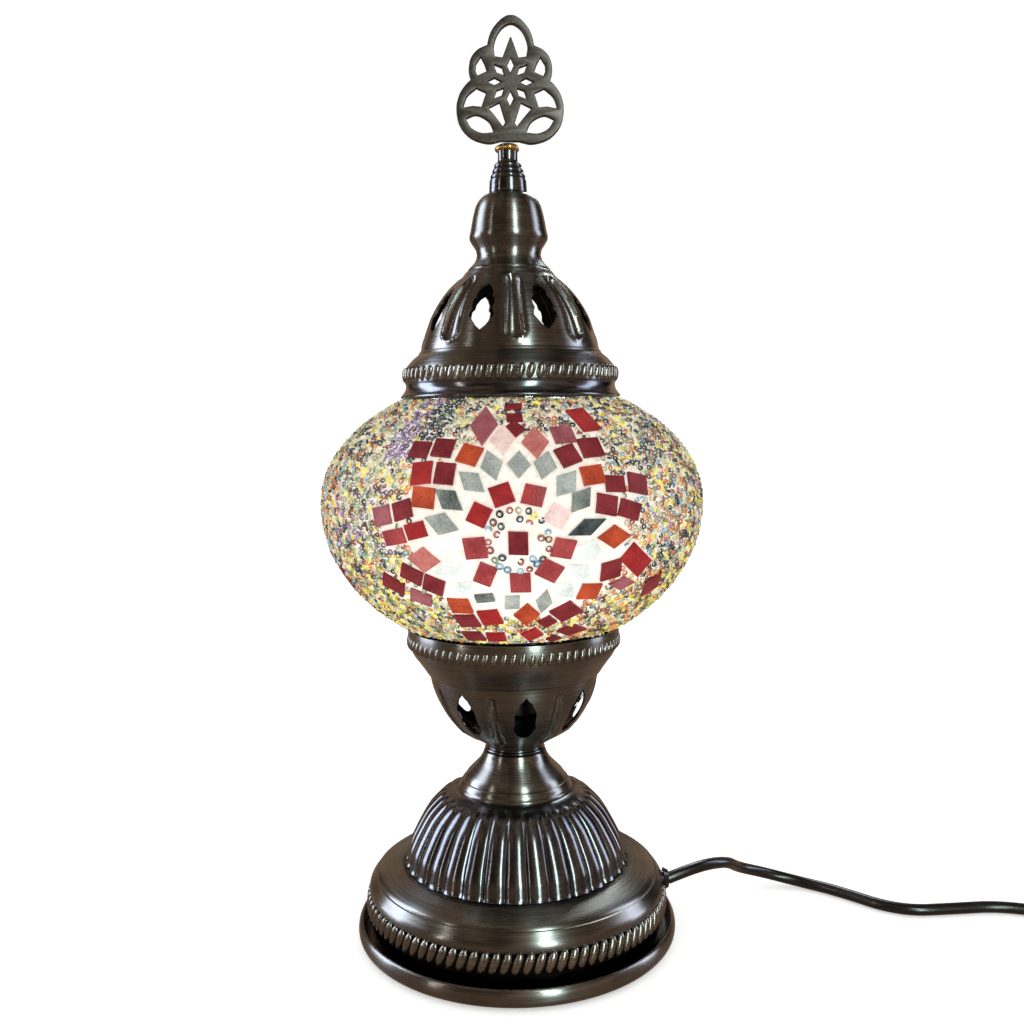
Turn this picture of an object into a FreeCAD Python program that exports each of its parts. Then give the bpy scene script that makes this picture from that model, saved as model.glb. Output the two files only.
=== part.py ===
"""Mosaic glass table lamp: a spun and pressed metal base, a glass globe faced with mosaic, a pierced
cap that lifts off it, a cast finial, and a mains lead with an in-line switch.

Millimetres, +Z up, origin at the centre of the underside. Every size is a cell of the sheet "Sizes",
every sub-part is an object of its own, and each is written to parts/LABEL.step.
"""

import FreeCAD, Part
import math
import os
import Sketcher

Vector = FreeCAD.Vector
doc = FreeCAD.newDocument("mosaic_table_lamp")
sheet = doc.addObject("Spreadsheet::Sheet", "Sizes")

# ---------------------------------------------------------------- driving dimensions

SIZES = (
    # the base
    ("pad_radius", 62.0), ("pad_thickness", 1.5),
    ("metal_wall", 0.8),
    ("tray_radius", 66.6), ("tray_height", 6.3), ("tray_floor", 0.8), ("tray_lip", 1.6),
    ("pan_radius", 61.0), ("pan_height", 28.2), ("pan_shoulder_height", 20.2), ("pan_slope_inset", 2.5),
    ("band_thickness", 1.3), ("band_height", 7.0), ("base_band_level", 9.7),
    ("dome_foot_radius", 46.4), ("dome_top_radius", 23.5), ("dome_height", 30.1),
    ("collar_top_radius", 13.0), ("collar_height", 16.6),
    ("spacer_radius", 12.4), ("spacer_height", 3.4),
    # the bowl that carries the globe
    ("bowl_foot_radius", 12.9), ("bowl_waist_radius", 35.3), ("bowl_waist_height", 29.9),
    ("bowl_rim_radius", 43.6), ("bowl_height", 49.1), ("bowl_band_drop", 8.6),
    ("hole_count", 8), ("bowl_hole_width", 8.6), ("bowl_hole_height", 18.7), ("bowl_hole_level", 2.9),
    ("bowl_turn", 8.0),
    # the centre fixings and the lampholder
    ("tube_radius", 5.0), ("tube_bore", 3.1), ("tube_drop", 9.0), ("tube_rise", 9.0),
    ("fixing_clearance", 0.1), ("washer_radius", 11.0), ("washer_thickness", 1.2),
    ("nut_flats", 14.0), ("nut_height", 3.6),
    ("holder_foot_radius", 10.5), ("holder_radius", 13.6), ("holder_height", 44.0), ("holder_wall", 1.6),
    ("holder_swell_height", 7.0), ("holder_shoulder_height", 10.0), ("holder_floor_height", 9.5),
    ("holder_ring_radius", 15.2), ("holder_ring_height", 5.0), ("holder_ring_drop", 12.0),
    ("insert_height", 9.0), ("contact_level", 4.0),
    ("screw_shell_wall", 0.4), ("screw_shell_height", 22.0), ("contact_radius", 3.0),
    ("contact_height", 2.4),
    # the bulb
    ("bulb_radius", 17.5), ("bulb_length", 78.0), ("bulb_glass_wall", 0.8), ("bulb_neck_radius", 7.6),
    ("bulb_cap_radius", 6.9), ("bulb_cap_height", 19.0), ("bulb_tip_radius", 2.6),
    ("bulb_tip_height", 1.8), ("running_clearance", 0.05),
    # the globe
    ("globe_radius", 77.2), ("globe_upper", 50.5), ("globe_lower", 61.5),
    ("facing_thickness", 1.6), ("grout_thickness", 1.2), ("glass_wall", 2.2),
    ("globe_foot_inset", 2.2), ("globe_foot_depth", 8.0),
    ("globe_neck_inset", 7.4), ("globe_top_rise", 6.0), ("rest_gap", 0.4),
    # the cap
    ("cap_lip_radius", 44.4), ("cap_waist_inset", 1.9), ("skirt_height", 18.6),
    ("skirt_inset", 8.4), ("skirt_flange", 3.0), ("cap_band_level", 6.4),
    ("cap_top_radius", 16.8), ("cap_dome_height", 31.8), ("cap_hole_width", 10.0),
    ("cap_hole_height", 18.3), ("cap_hole_level", 6.2), ("cap_turn", 25.5),
    ("vase_height", 30.4), ("vase_waist_radius", 12.8), ("vase_belly_radius", 15.8),
    ("vase_top_radius", 7.6),
    # the rod and the finial
    ("rod_radius", 3.0), ("rod_drop", 9.0), ("rod_rise", 10.0), ("cap_nut_flats", 10.0),
    ("cap_nut_height", 5.0), ("cap_washer_radius", 9.0),
    ("stem_foot_radius", 7.4), ("stem_foot_height", 5.9), ("stem_height", 19.4),
    ("stem_ring_radius", 6.5), ("stem_step_radius", 5.6), ("stem_top_radius", 3.9),
    ("ornament_half_width", 21.3), ("ornament_height", 50.3), ("ornament_thickness", 2.6),
    ("ornament_overlap", 1.5), ("solder_radius", 4.9), ("solder_height", 2.2),
    # the lead and what is on it
    ("cord_radius", 2.4), ("grommet_flange_radius", 4.6), ("grommet_flange", 2.0),
    ("grommet_radius", 3.4), ("exit_level", 19.5), ("lead_bend", 11.0),
    ("inner_lead_end", 4.0), ("inner_lead_drop", 15.0), ("inner_lead_sweep", 60.0),
    ("coil_x", 330.0), ("coil_y", -30.0), ("coil_radius", 27.0), ("coil_half_width", 7.2),
    ("coil_height", 14.4), ("tie_width", 8.0), ("tie_thickness", 0.8), ("tie_slack", 0.5),
    ("switch_x", 269.0), ("switch_y", -3.0), ("switch_length", 58.0), ("switch_width", 24.0),
    ("switch_height", 15.0), ("case_wall", 1.6), ("switch_split", 7.5), ("rocker_length", 17.0),
    ("rocker_width", 10.0), ("rocker_rise", 2.2), ("rocker_gap", 0.4), ("rocker_depth", 6.0),
    ("terminal_radius", 1.6), ("terminal_length", 6.0), ("switch_screw_radius", 1.4),
    ("switch_screw_inset", 7.5),
    ("plug_x", 290.0), ("plug_y", -63.0), ("plug_length", 36.0), ("plug_width", 34.0),
    ("plug_height", 14.0), ("plug_relief", 9.0), ("pin_radius", 2.0), ("pin_length", 19.0), ("pin_grip", 8.0),
    ("pin_spacing", 19.0),
)
for row, (alias, number) in enumerate(SIZES, 1):
    sheet.set(f"A{row}", alias)
    sheet.set(f"B{row}", str(number))
    sheet.setAlias(f"B{row}", alias)
doc.recompute()


def size(alias):
    """The number in one cell of the sheet."""
    return float(sheet.get(alias))


def bound(text):
    """An expression written with bare aliases, as one that names the sheet."""
    for alias, _ in sorted(SIZES, key=lambda pair: -len(pair[0])):
        text = text.replace("{" + alias + "}", "Sizes." + alias)
    return text


def number(text):
    """What an expression comes to now."""
    return float(sheet.evalExpression(bound(text)))


# ---------------------------------------------------------------- levels, each from the one below it

PAN = "({pad_thickness} + {tray_floor})"
DECK = f"({PAN} + {{pan_height}})"
DOME_TOP = f"({DECK} + {{dome_height}})"
COLLAR_TOP = f"({DOME_TOP} + {{collar_height}})"
BOWL = f"({COLLAR_TOP} + {{spacer_height}})"
RIM = f"({BOWL} + {{bowl_height}})"
EQUATOR = (f"({RIM} + {{rest_gap}} + {{globe_lower}} * "
           "sqrt(1 - (({bowl_rim_radius} - {metal_wall}) / {globe_radius}) ^ 2))")
CAP = (f"({EQUATOR} + {{rest_gap}} + {{globe_upper}} * "
       "sqrt(1 - (({cap_lip_radius} - {metal_wall}) / {globe_radius}) ^ 2))")
SKIRT_TOP = f"({CAP} + {{skirt_height}})"
CAP_TOP = f"({SKIRT_TOP} + {{cap_dome_height}})"
VASE_TOP = f"({CAP_TOP} + {{vase_height}})"
STEM_TOP = f"({VASE_TOP} + {{stem_height}})"
HOLDER = f"({BOWL} + {{metal_wall}} + {{nut_height}})"
BULB_SEAT = f"({HOLDER} + {{holder_height}} - {{screw_shell_height}})"

parts = []


# ---------------------------------------------------------------- ways of making a piece

def axis_plane(body, role):
    """One of a body's own origin planes."""
    return [item for item in body.Origin.OriginFeatures if item.Role == role][0]


def add_loop(sketch, points):
    """A closed loop of straight edges, each corner held by two bound distances from the origin."""
    first = sketch.GeometryCount
    count = len(points)
    places = [Vector(number(x), number(y), 0) for x, y in points]
    for index in range(count):
        sketch.addGeometry(Part.LineSegment(places[index], places[(index + 1) % count]), False)
    for index in range(count):
        sketch.addConstraint(Sketcher.Constraint(
            "Coincident", first + index, 2, first + (index + 1) % count, 1))
    for index, (x, y) in enumerate(points):
        for kind, text in (("DistanceX", x), ("DistanceY", y)):
            held = sketch.addConstraint(Sketcher.Constraint(kind, -1, 1, first + index, 1, number(text)))
            sketch.setExpression(f"Constraints[{held}]", bound(text))


def sketch_on(body, role, *loops):
    """A sketch of closed loops on one of the body's planes."""
    sketch = body.newObject("Sketcher::SketchObject", body.Name + "_outline")
    sketch.AttachmentSupport = [(axis_plane(body, role), "")]
    sketch.MapMode = "FlatFace"
    for loop in loops:
        add_loop(sketch, loop)
    return sketch


def keep(piece, label, level="0"):
    """Names a finished piece, sets its height and puts it on the list of what is written."""
    piece.Label = label
    if level != "0":
        piece.setExpression(".Placement.Base.z", bound(level))
    parts.append(piece)
    return piece


def turned(label, outline, level="0"):
    """A body turned about Z from a closed outline of (radius, height) corners."""
    body = doc.addObject("PartDesign::Body", label)
    sketch = sketch_on(body, "XZ_Plane", outline)
    spin = body.newObject("PartDesign::Revolution", label + "_turned")
    spin.Profile = sketch
    spin.ReferenceAxis = (sketch, ["V_Axis"])
    spin.Angle = 360
    sketch.Visibility = False
    return keep(body, label, level)


def ring(label, inner, outer, low, high, level="0"):
    """A plain ring or disc of square section."""
    return turned(label, ((inner, low), (outer, low), (outer, high), (inner, high)), level)


def sheet_outline(outer, wall="{metal_wall}"):
    """The closed section of a sheet-metal wall, from the line of its outer side followed upwards."""
    places = [(number(x), number(y)) for x, y in outer]
    normals = []
    for (x0, y0), (x1, y1) in zip(places[:-1], places[1:]):
        length = math.hypot(x1 - x0, y1 - y0)
        normals.append(((y0 - y1) / length, (x1 - x0) / length))
    inner = []
    for index, (x, y) in enumerate(outer):
        before = normals[max(index - 1, 0)]
        after = normals[min(index, len(normals) - 1)]
        if index in (0, len(outer) - 1):
            # an edge is cut square to the axis, or along it where the wall lies flat
            steep = abs(after[0]) >= abs(after[1])
            across, up = (1 / after[0], 0) if steep else (0, 1 / after[1])
        else:
            share = 1 + before[0] * after[0] + before[1] * after[1]
            across, up = (before[0] + after[0]) / share, (before[1] + after[1]) / share
        inner.append((f"{x} + {wall} * {across:.4f}", f"{y} + {wall} * {up:.4f}"))
    return tuple(outer) + tuple(reversed(inner))


def swell(start, end, rise, shares, base="0"):
    """Corners of a curved wall: each share is (part of the change in radius, part of the rise)."""
    return tuple((f"({start} + ({end} - {start}) * {across})", f"({base} + {rise} * {up})")
                 for across, up in shares)


def pierce(body, outline, turn):
    """Cuts one hole through the front wall of a turned shell and repeats it round the axis."""
    cutter = body.newObject("PartDesign::Pocket", body.Name + "_hole")
    cutter.Profile = sketch_on(body, "XZ_Plane", outline)
    cutter.Type = "ThroughAll"
    cutter.Reversed = True
    around = body.newObject("PartDesign::PolarPattern", body.Name + "_holes")
    around.Originals = [cutter]
    around.Axis = (axis_plane(body, "Z_Axis"), [""])
    around.Angle = 360
    around.setExpression("Occurrences", bound("{hole_count}"))
    body.Tip = around
    body.Placement.Rotation = FreeCAD.Rotation(Vector(0, 0, 1), 0)
    body.setExpression(".Placement.Rotation.Angle", bound(turn + " * 1 deg"))


def leaf(width, height, level):
    """A pointed leaf-shaped hole, narrow at the foot and widest above its middle."""
    half = ((0.0, 0.0), (0.34, 0.13), (0.28, 0.24), (0.46, 0.37), (0.38, 0.5), (0.5, 0.68), (0.3, 0.84))
    right = [(f"{width} * {across}", f"{level} + {height} * {up}") for across, up in half]
    left = [(f"{width} * {-across}", f"{level} + {height} * {up}") for across, up in reversed(half[1:])]
    return tuple(right + [("0", f"{level} + {height}")] + left)


def hexagon(label, flats, bore, height, level):
    """A hexagon nut with a plain bore."""
    body = doc.addObject("PartDesign::Body", label)
    corner = f"{flats} / sqrt(3)"
    sides = tuple((f"{corner} * {math.cos(math.radians(60 * k)):.6f}",
                   f"{corner} * {math.sin(math.radians(60 * k)):.6f}") for k in range(6))
    pad = body.newObject("PartDesign::Pad", label + "_pad")
    pad.Profile = sketch_on(body, "XY_Plane", sides)
    pad.setExpression("Length", bound(height))
    hole = body.newObject("PartDesign::Pocket", label + "_bore")
    circle = body.newObject("Sketcher::SketchObject", label + "_bore_outline")
    circle.AttachmentSupport = [(axis_plane(body, "XY_Plane"), "")]
    circle.MapMode = "FlatFace"
    circle.addGeometry(Part.Circle(Vector(0, 0, 0), Vector(0, 0, 1), number(bore)), False)
    circle.addConstraint(Sketcher.Constraint("Coincident", 0, 3, -1, 1))
    held = circle.addConstraint(Sketcher.Constraint("Radius", 0, number(bore)))
    circle.setExpression(f"Constraints[{held}]", bound(bore))
    hole.Profile = circle
    hole.Type = "ThroughAll"
    hole.Reversed = True
    return keep(body, label, level)


def primitive(kind, name, at=("0", "0", "0"), **sizes):
    """A Part primitive with every size and place bound."""
    item = doc.addObject("Part::" + kind, name)
    for key, text in sizes.items():
        item.setExpression(key, bound(text))
    for key, text in zip("xyz", at):
        item.setExpression(".Placement.Base." + key, bound(text))
    return item


def lying(item, axis):
    """Lays an upright cylinder or cone along X or Y."""
    item.Placement.Rotation = {
        "x": FreeCAD.Rotation(Vector(0, 1, 0), 90),
        "y": FreeCAD.Rotation(Vector(1, 0, 0), -90),
    }[axis]
    return item


def cut(base, tools, name):
    """One object with others taken out of it."""
    for index, tool in enumerate(tools):
        item = doc.addObject("Part::Cut", f"{name}_{index}")
        item.Base, item.Tool = base, tool
        base = item
    return base


def group(items, name):
    """Several separate solids held as one object."""
    item = doc.addObject("Part::Compound", name)
    item.Links = list(items)
    return item


# ---------------------------------------------------------------- the base

TUBE_HOLE = "({tube_radius} + {fixing_clearance})"

ring("base_pad", "0", "{pad_radius}", "0", "{pad_thickness}")
LIP = "({tray_radius} - {tray_lip})"
turned("base_tray", (
    ("0", "0"), ("{pad_radius} + 1.5", "0"), ("{tray_radius} - 0.4", "{tray_height} * 0.16"),
    ("{tray_radius}", "{tray_height} * 0.45"), ("{tray_radius} - 0.3", "{tray_height} * 0.8"),
    (LIP, "{tray_height}"), (f"{LIP} - 0.6", "{tray_height} * 0.9"),
    (f"{LIP} + 0.1", "{tray_height} * 0.5"), (f"{LIP} - 0.7", "{tray_floor}"), ("0", "{tray_floor}"),
), "{pad_thickness}")
pan = turned("base_pan", sheet_outline((
    ("{pan_radius}", "0"), ("{pan_radius}", "{pan_shoulder_height} - 2.2"),
    ("{pan_radius} + 0.3", "{pan_shoulder_height}"),
    ("{pan_radius} - {pan_slope_inset}", "{pan_shoulder_height} + 4.1"),
    ("{dome_foot_radius} + 0.6", "{pan_height}"), (TUBE_HOLE, "{pan_height}"),
)), PAN)


def side_hole(body, radius, foot):
    """Cuts the lead's hole through the +X side of a turned wall that stands at foot."""
    sketch = body.newObject("Sketcher::SketchObject", body.Name + "_exit_outline")
    sketch.AttachmentSupport = [(axis_plane(body, "YZ_Plane"), "")]
    sketch.MapMode = "FlatFace"
    sketch.addGeometry(Part.Circle(Vector(0, 1, 0), Vector(0, 0, 1), number(radius)), False)
    for kind, text in (("DistanceX", "0"), ("DistanceY", "{exit_level} - (" + foot + ")")):
        held = sketch.addConstraint(Sketcher.Constraint(kind, -1, 1, 0, 3, number(text)))
        sketch.setExpression(f"Constraints[{held}]", bound(text))
    held = sketch.addConstraint(Sketcher.Constraint("Radius", 0, number(radius)))
    sketch.setExpression(f"Constraints[{held}]", bound(radius))
    hole = body.newObject("PartDesign::Pocket", body.Name + "_exit")
    hole.Profile = sketch
    hole.Type = "ThroughAll"
    hole.Reversed = True
    body.Tip = hole


side_hole(pan, "{grommet_radius} + {fixing_clearance}", PAN)
band = ring("base_bead_band", "{pan_radius}", "{pan_radius} + {band_thickness}",
            "{base_band_level}", "{base_band_level} + {band_height}", PAN)
side_hole(band, "{grommet_flange_radius} + {fixing_clearance}", PAN)

DOME_CURVE = ((0, 0.02), (0.066, 0.236), (0.2, 0.443), (0.4, 0.7), (0.63, 0.878), (0.8, 0.953), (1, 1))
turned("gadroon_dome", sheet_outline(
    swell("{dome_foot_radius}", "{dome_top_radius}", "{dome_height}", DOME_CURVE)
    + ((TUBE_HOLE, "{dome_height}"),)), DECK)
COLLAR_CURVE = ((0, 0), (0, 0.108), (0.12, 0.265), (0.32, 0.416), (0.57, 0.578), (0.79, 0.73),
                (0.94, 0.88), (1, 1))
turned("collar_cone", sheet_outline(
    swell("{dome_top_radius}", "{collar_top_radius}", "{collar_height}", COLLAR_CURVE)
    + ((TUBE_HOLE, "{collar_height}"),)), DOME_TOP)
turned("neck_spacer", (
    (TUBE_HOLE, "0"), ("{spacer_radius}", "0"), ("{spacer_radius} - 0.3", "{spacer_height} * 0.5"),
    ("{spacer_radius}", "{spacer_height}"), (TUBE_HOLE, "{spacer_height}")), COLLAR_TOP)

# ---------------------------------------------------------------- the bowl

BELLY = ((0, 0), (0.165, 0.08), (0.39, 0.18), (0.52, 0.264), (0.7, 0.43), (0.85, 0.65), (0.93, 0.816),
         (1, 1))
FLARE = ((0.27, 0.18), (0.75, 0.44), (0.92, 0.6), (0.99, 0.76), (1, 1))
bowl = turned("globe_bowl", sheet_outline(
    ((TUBE_HOLE, "0"),)
    + swell("{bowl_foot_radius}", "{bowl_waist_radius}", "{bowl_waist_height}", BELLY)
    + swell("{bowl_waist_radius}", "{bowl_rim_radius}", "({bowl_height} - {bowl_waist_height})", FLARE,
            "{bowl_waist_height}")), BOWL)
pierce(bowl, leaf("{bowl_hole_width}", "{bowl_hole_height}",
                  "({bowl_waist_height} - {bowl_hole_level} - {bowl_hole_height})"), "{bowl_turn}")
ring("bowl_bead_band", "{bowl_rim_radius}", "{bowl_rim_radius} + {band_thickness} * 0.6",
     "{bowl_height} - {bowl_band_drop}", "{bowl_height} - {bowl_band_drop} + {band_height}", BOWL)

# ---------------------------------------------------------------- centre fixings and lampholder

ring("threaded_tube", "{tube_bore}", "{tube_radius}", "0",
     f"{{tube_drop}} + {HOLDER} - {DECK} + {{tube_rise}}", f"{DECK} - {{tube_drop}}")
ring("tube_washer", TUBE_HOLE, "{washer_radius}", "0", "{washer_thickness}",
     f"{DECK} - {{metal_wall}} - {{washer_thickness}}")
hexagon("tube_nut", "{nut_flats}", TUBE_HOLE, "{nut_height}",
        f"{DECK} - {{metal_wall}} - {{washer_thickness}} - {{nut_height}}")
hexagon("holder_locknut", "{nut_flats}", TUBE_HOLE, "{nut_height}", f"{BOWL} + {{metal_wall}}")
HOLDER_BORE = "({holder_radius} - {holder_wall})"
turned("holder_cup", (
    (TUBE_HOLE, "0"), ("{holder_foot_radius}", "0"), ("{holder_foot_radius} + 0.6", "{holder_swell_height}"),
    ("{holder_radius}", "{holder_shoulder_height}"), ("{holder_radius}", "{holder_height}"),
    (HOLDER_BORE, "{holder_height}"), (HOLDER_BORE, "{holder_floor_height} + 1.5"),
    ("{holder_foot_radius} - 1.2", "{holder_floor_height}"), (TUBE_HOLE, "{holder_floor_height}")), HOLDER)
ring("holder_ring", "{holder_radius} + {running_clearance}", "{holder_ring_radius}",
     "{holder_height} - {holder_ring_drop}",
     "{holder_height} - {holder_ring_drop} + {holder_ring_height}", HOLDER)
SHELL_BORE = "({bulb_cap_radius} + {running_clearance})"
ring("holder_screw_shell", SHELL_BORE, f"{SHELL_BORE} + {{screw_shell_wall}}",
     "0", "{screw_shell_height} - 1", BULB_SEAT)
ring("holder_insert", "{contact_radius} + {fixing_clearance}",
     f"{HOLDER_BORE} - {{fixing_clearance}}", "0", "{insert_height}", f"{BULB_SEAT} - {{insert_height}}")
ring("holder_contact", "0", "{contact_radius}", "0", "{contact_height}",
     f"{BULB_SEAT} - {{insert_height}} + {{contact_level}}")

# ---------------------------------------------------------------- the bulb

BULB = f"({HOLDER} + {{holder_height}} + 1)"
CANDLE = ((0.0, 0.0), (0.35, 0.05), (0.72, 0.14), (0.96, 0.28), (1.0, 0.38), (0.93, 0.52),
          (0.72, 0.7), (0.42, 0.86), (0.2, 0.95), (0.08, 0.99))
turned("bulb_glass", sheet_outline(
    swell("{bulb_neck_radius}", "{bulb_radius}", "{bulb_length}", CANDLE[:5])
    + tuple((f"{{bulb_radius}} * {across}", f"{{bulb_length}} * {up}") for across, up in CANDLE[5:]),
    "{bulb_glass_wall}") , BULB)
ring("bulb_screw_cap", "0", "{bulb_cap_radius}", f"{BULB} - {{bulb_cap_height}}", BULB)
ring("bulb_tip", "0", "{bulb_tip_radius}", f"{BULB} - {{bulb_cap_height}} - {{bulb_tip_height}}",
     f"{BULB} - {{bulb_cap_height}}")

# ---------------------------------------------------------------- the globe

ARC_STEPS = 9


def globe_arc(depth, from_radius, to_radius, upper):
    """Corners of an elliptical quarter of the globe, depth under its face, between two radii."""
    across = f"({{globe_radius}} - {depth})"
    tall = f"({{globe_{'upper' if upper else 'lower'}}} - {depth})"
    start = math.asin(min(1, number(from_radius) / number(across)))
    end = math.asin(min(1, number(to_radius) / number(across)))
    sign = "" if upper else "-"
    corners = []
    for step in range(ARC_STEPS + 1):
        share = step / ARC_STEPS
        angle = start + (end - start) * share
        radius = f"{across} * {math.sin(angle):.6f}"
        if step in (0, ARC_STEPS):
            radius = from_radius if step == 0 else to_radius
        corners.append((radius, f"{sign}{tall} * sqrt(abs(1 - (({radius}) / {across}) ^ 2))"))
    return tuple(corners)


GROUT = "{facing_thickness}"
GLASS = "({facing_thickness} + {grout_thickness})"
WITHIN = f"({GLASS} + {{glass_wall}})"
FACE_FOOT = "({bowl_rim_radius} - 0.4)"
FACE_TOP = "({cap_lip_radius} - 0.6)"


def globe_side(depth):
    """The globe's whole side under its face, from the mosaic's lower edge to its upper one."""
    widest = f"({{globe_radius}} - {depth})"
    return globe_arc(depth, FACE_FOOT, widest, False) + globe_arc(depth, widest, FACE_TOP, True)[1:]


def globe_neck(depth, radius, upper):
    """Where a neck of the glass meets the curve of its side."""
    across = f"({{globe_radius}} - {depth})"
    tall = f"({{globe_{'upper' if upper else 'lower'}}} - {depth})"
    return radius, f"{'' if upper else '-'}{tall} * sqrt(abs(1 - (({radius}) / {across}) ^ 2))"


for label, outside, inside in (("mosaic_facing", "0", GROUT), ("mosaic_grout", GROUT, GLASS)):
    turned(label, globe_side(outside) + tuple(reversed(globe_side(inside))), EQUATOR)

GLASS_FOOT = "({bowl_rim_radius} - {globe_foot_inset})"
GLASS_NECK = "({cap_lip_radius} - {globe_neck_inset})"
FOOT_BORE = f"({GLASS_FOOT} - {{glass_wall}})"
TOP_BORE = f"({GLASS_NECK} - {{glass_wall}})"
foot_end = f"({RIM} - {EQUATOR} - {{globe_foot_depth}})"
top_end = f"({CAP} - {EQUATOR} + {{globe_top_rise}})"
turned("globe_glass", (
    (GLASS_FOOT, foot_end), globe_neck(GLASS, GLASS_FOOT, False),
    *globe_side(GLASS), globe_neck(GLASS, GLASS_NECK, True),
    (GLASS_NECK, top_end), (TOP_BORE, top_end), globe_neck(WITHIN, TOP_BORE, True),
    *reversed(globe_side(WITHIN)), globe_neck(WITHIN, FOOT_BORE, False), (FOOT_BORE, foot_end),
), EQUATOR)

# ---------------------------------------------------------------- the cap

WAIST = "({cap_lip_radius} - {cap_waist_inset})"
SKIRT_RADIUS = "({cap_lip_radius} - {skirt_inset})"
SKIRT_RISE = ((0.0, 0.45), (0.23, 0.57), (0.57, 0.69), (0.87, 0.83), (1.0, 1.0))
turned("cap_skirt", sheet_outline(
    (("{cap_lip_radius}", "0"), ("{cap_lip_radius} - 0.9", "1.6"), (WAIST, "4")) + tuple(
        (f"({WAIST} + 0.3 + ({SKIRT_RADIUS} - {WAIST} - 0.3) * {across})",
         f"{{skirt_height}} * {up}") for across, up in SKIRT_RISE)
    + ((f"{SKIRT_RADIUS} - {{skirt_flange}}", "{skirt_height}"),)), CAP)
ring("cap_bead_band", f"{WAIST} + 0.3", f"{WAIST} + 0.3 + {{band_thickness}}", "{cap_band_level}",
     "{cap_band_level} + {band_height} * 0.7", CAP)
CROWN = ((0, 0), (0.055, 0.115), (0.14, 0.27), (0.24, 0.43), (0.385, 0.585), (0.57, 0.742),
         (0.77, 0.86), (0.9, 0.93), (1, 1))
ROD_HOLE = "({rod_radius} + {fixing_clearance})"
dome = turned("cap_dome", sheet_outline(
    swell(SKIRT_RADIUS, "{cap_top_radius}", "{cap_dome_height}", CROWN)
    + ((ROD_HOLE, "{cap_dome_height}"),)), SKIRT_TOP)
pierce(dome, leaf("{cap_hole_width}", "{cap_hole_height}", "{cap_hole_level}"), "{cap_turn}")
VASE_FOOT = ((0, 0), (0.4, 0.08), (0.85, 0.15), (1, 0.225))
VASE_BELLY = ((0.17, 0.31), (0.73, 0.39), (1, 0.455), (0.93, 0.55))
VASE_SHOULDER = ((0.2, 0.73), (0.36, 0.865), (0.54, 0.947), (0.77, 0.993), (1, 1))
turned("cap_neck", sheet_outline(
    swell("{cap_top_radius}", "{vase_waist_radius}", "{vase_height}", VASE_FOOT)
    + swell("{vase_waist_radius}", "{vase_belly_radius}", "{vase_height}", VASE_BELLY)
    + swell("{vase_belly_radius}", "{vase_top_radius}", "{vase_height}", VASE_SHOULDER)
    + ((ROD_HOLE, "{vase_height}"),)), CAP_TOP)
ring("cap_rod", "0", "{rod_radius}", f"{CAP_TOP} - {{rod_drop}}", f"{VASE_TOP} + {{rod_rise}}")
ring("cap_washer", ROD_HOLE, "{cap_washer_radius}", "0", "{metal_wall}",
     f"{CAP_TOP} - {{metal_wall}} * 2")
hexagon("cap_rod_nut", "{cap_nut_flats}", ROD_HOLE, "{cap_nut_height}",
        f"{CAP_TOP} - {{metal_wall}} * 2 - {{cap_nut_height}}")

# ---------------------------------------------------------------- the finial

STEM_BORE = "({rod_radius} + {running_clearance})"
turned("finial_stem", (
    (STEM_BORE, "0.1"), ("{stem_foot_radius} + 0.2", "0.1"), ("{stem_foot_radius}", "{stem_foot_height}"),
    ("{stem_ring_radius} + 0.6", "{stem_foot_height} + 0.3"),
    ("{stem_ring_radius}", "{stem_foot_height} + 2.6"),
    ("{stem_step_radius}", "{stem_foot_height} + 4.4"),
    ("{stem_top_radius} + 0.4", "{stem_foot_height} + 6.3"),
    ("{stem_top_radius}", "{stem_foot_height} + 6.6"), ("{stem_top_radius}", "{stem_height}"),
    ("0", "{stem_height}"), ("0", "{rod_rise} + 1"), (STEM_BORE, "{rod_rise} + 1")), VASE_TOP)


def spread(half, mirrored):
    """Corners of the ornament from shares of its half width and height; mirrored closes both halves."""
    right = [(f"{{ornament_half_width}} * {x}", f"{{ornament_height}} * {y}") for x, y in half]
    if not mirrored:
        return tuple(right)
    left = [(f"{{ornament_half_width}} * {-x}", f"{{ornament_height}} * {y}")
            for x, y in reversed(half) if x]
    return tuple(right + left)


def reflected(half):
    """The same corners on the other side of the middle line."""
    return tuple((-x, y) for x, y in half)


OUTLINE = ((0.17, 0.0), (0.19, 0.09), (0.5, 0.085), (0.8, 0.13), (1.0, 0.275), (0.93, 0.4), (0.76, 0.51),
           (0.66, 0.55), (0.72, 0.62), (0.58, 0.7), (0.42, 0.765), (0.37, 0.86), (0.2, 0.945), (0.0, 1.0))
STAR = ((0.0, 0.37), (0.1, 0.44), (0.26, 0.42), (0.2, 0.49), (0.3, 0.53), (0.17, 0.56), (0.0, 0.63))
ARCH = ((0.0, 0.7), (0.25, 0.68), (0.24, 0.8), (0.0, 0.925))
LOBE = ((0.4, 0.24), (0.68, 0.24), (0.76, 0.33), (0.62, 0.42), (0.4, 0.33))
BAY = ((0.12, 0.09), (0.3, 0.13), (0.26, 0.28), (0.12, 0.34))
WING = ((0.38, 0.57), (0.56, 0.6), (0.45, 0.68), (0.33, 0.66))
ornament = doc.addObject("PartDesign::Body", "finial_ornament")
plate = ornament.newObject("PartDesign::Pad", "ornament_plate")
plate.Profile = sketch_on(
    ornament, "XZ_Plane", spread(OUTLINE, True), spread(ARCH, True), spread(STAR, True),
    *(spread(hole, False) for shape in (LOBE, BAY, WING) for hole in (shape, reflected(shape))))
plate.Midplane = True
plate.setExpression("Length", bound("{ornament_thickness}"))
keep(ornament, "finial_ornament", STEM_TOP)
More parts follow.
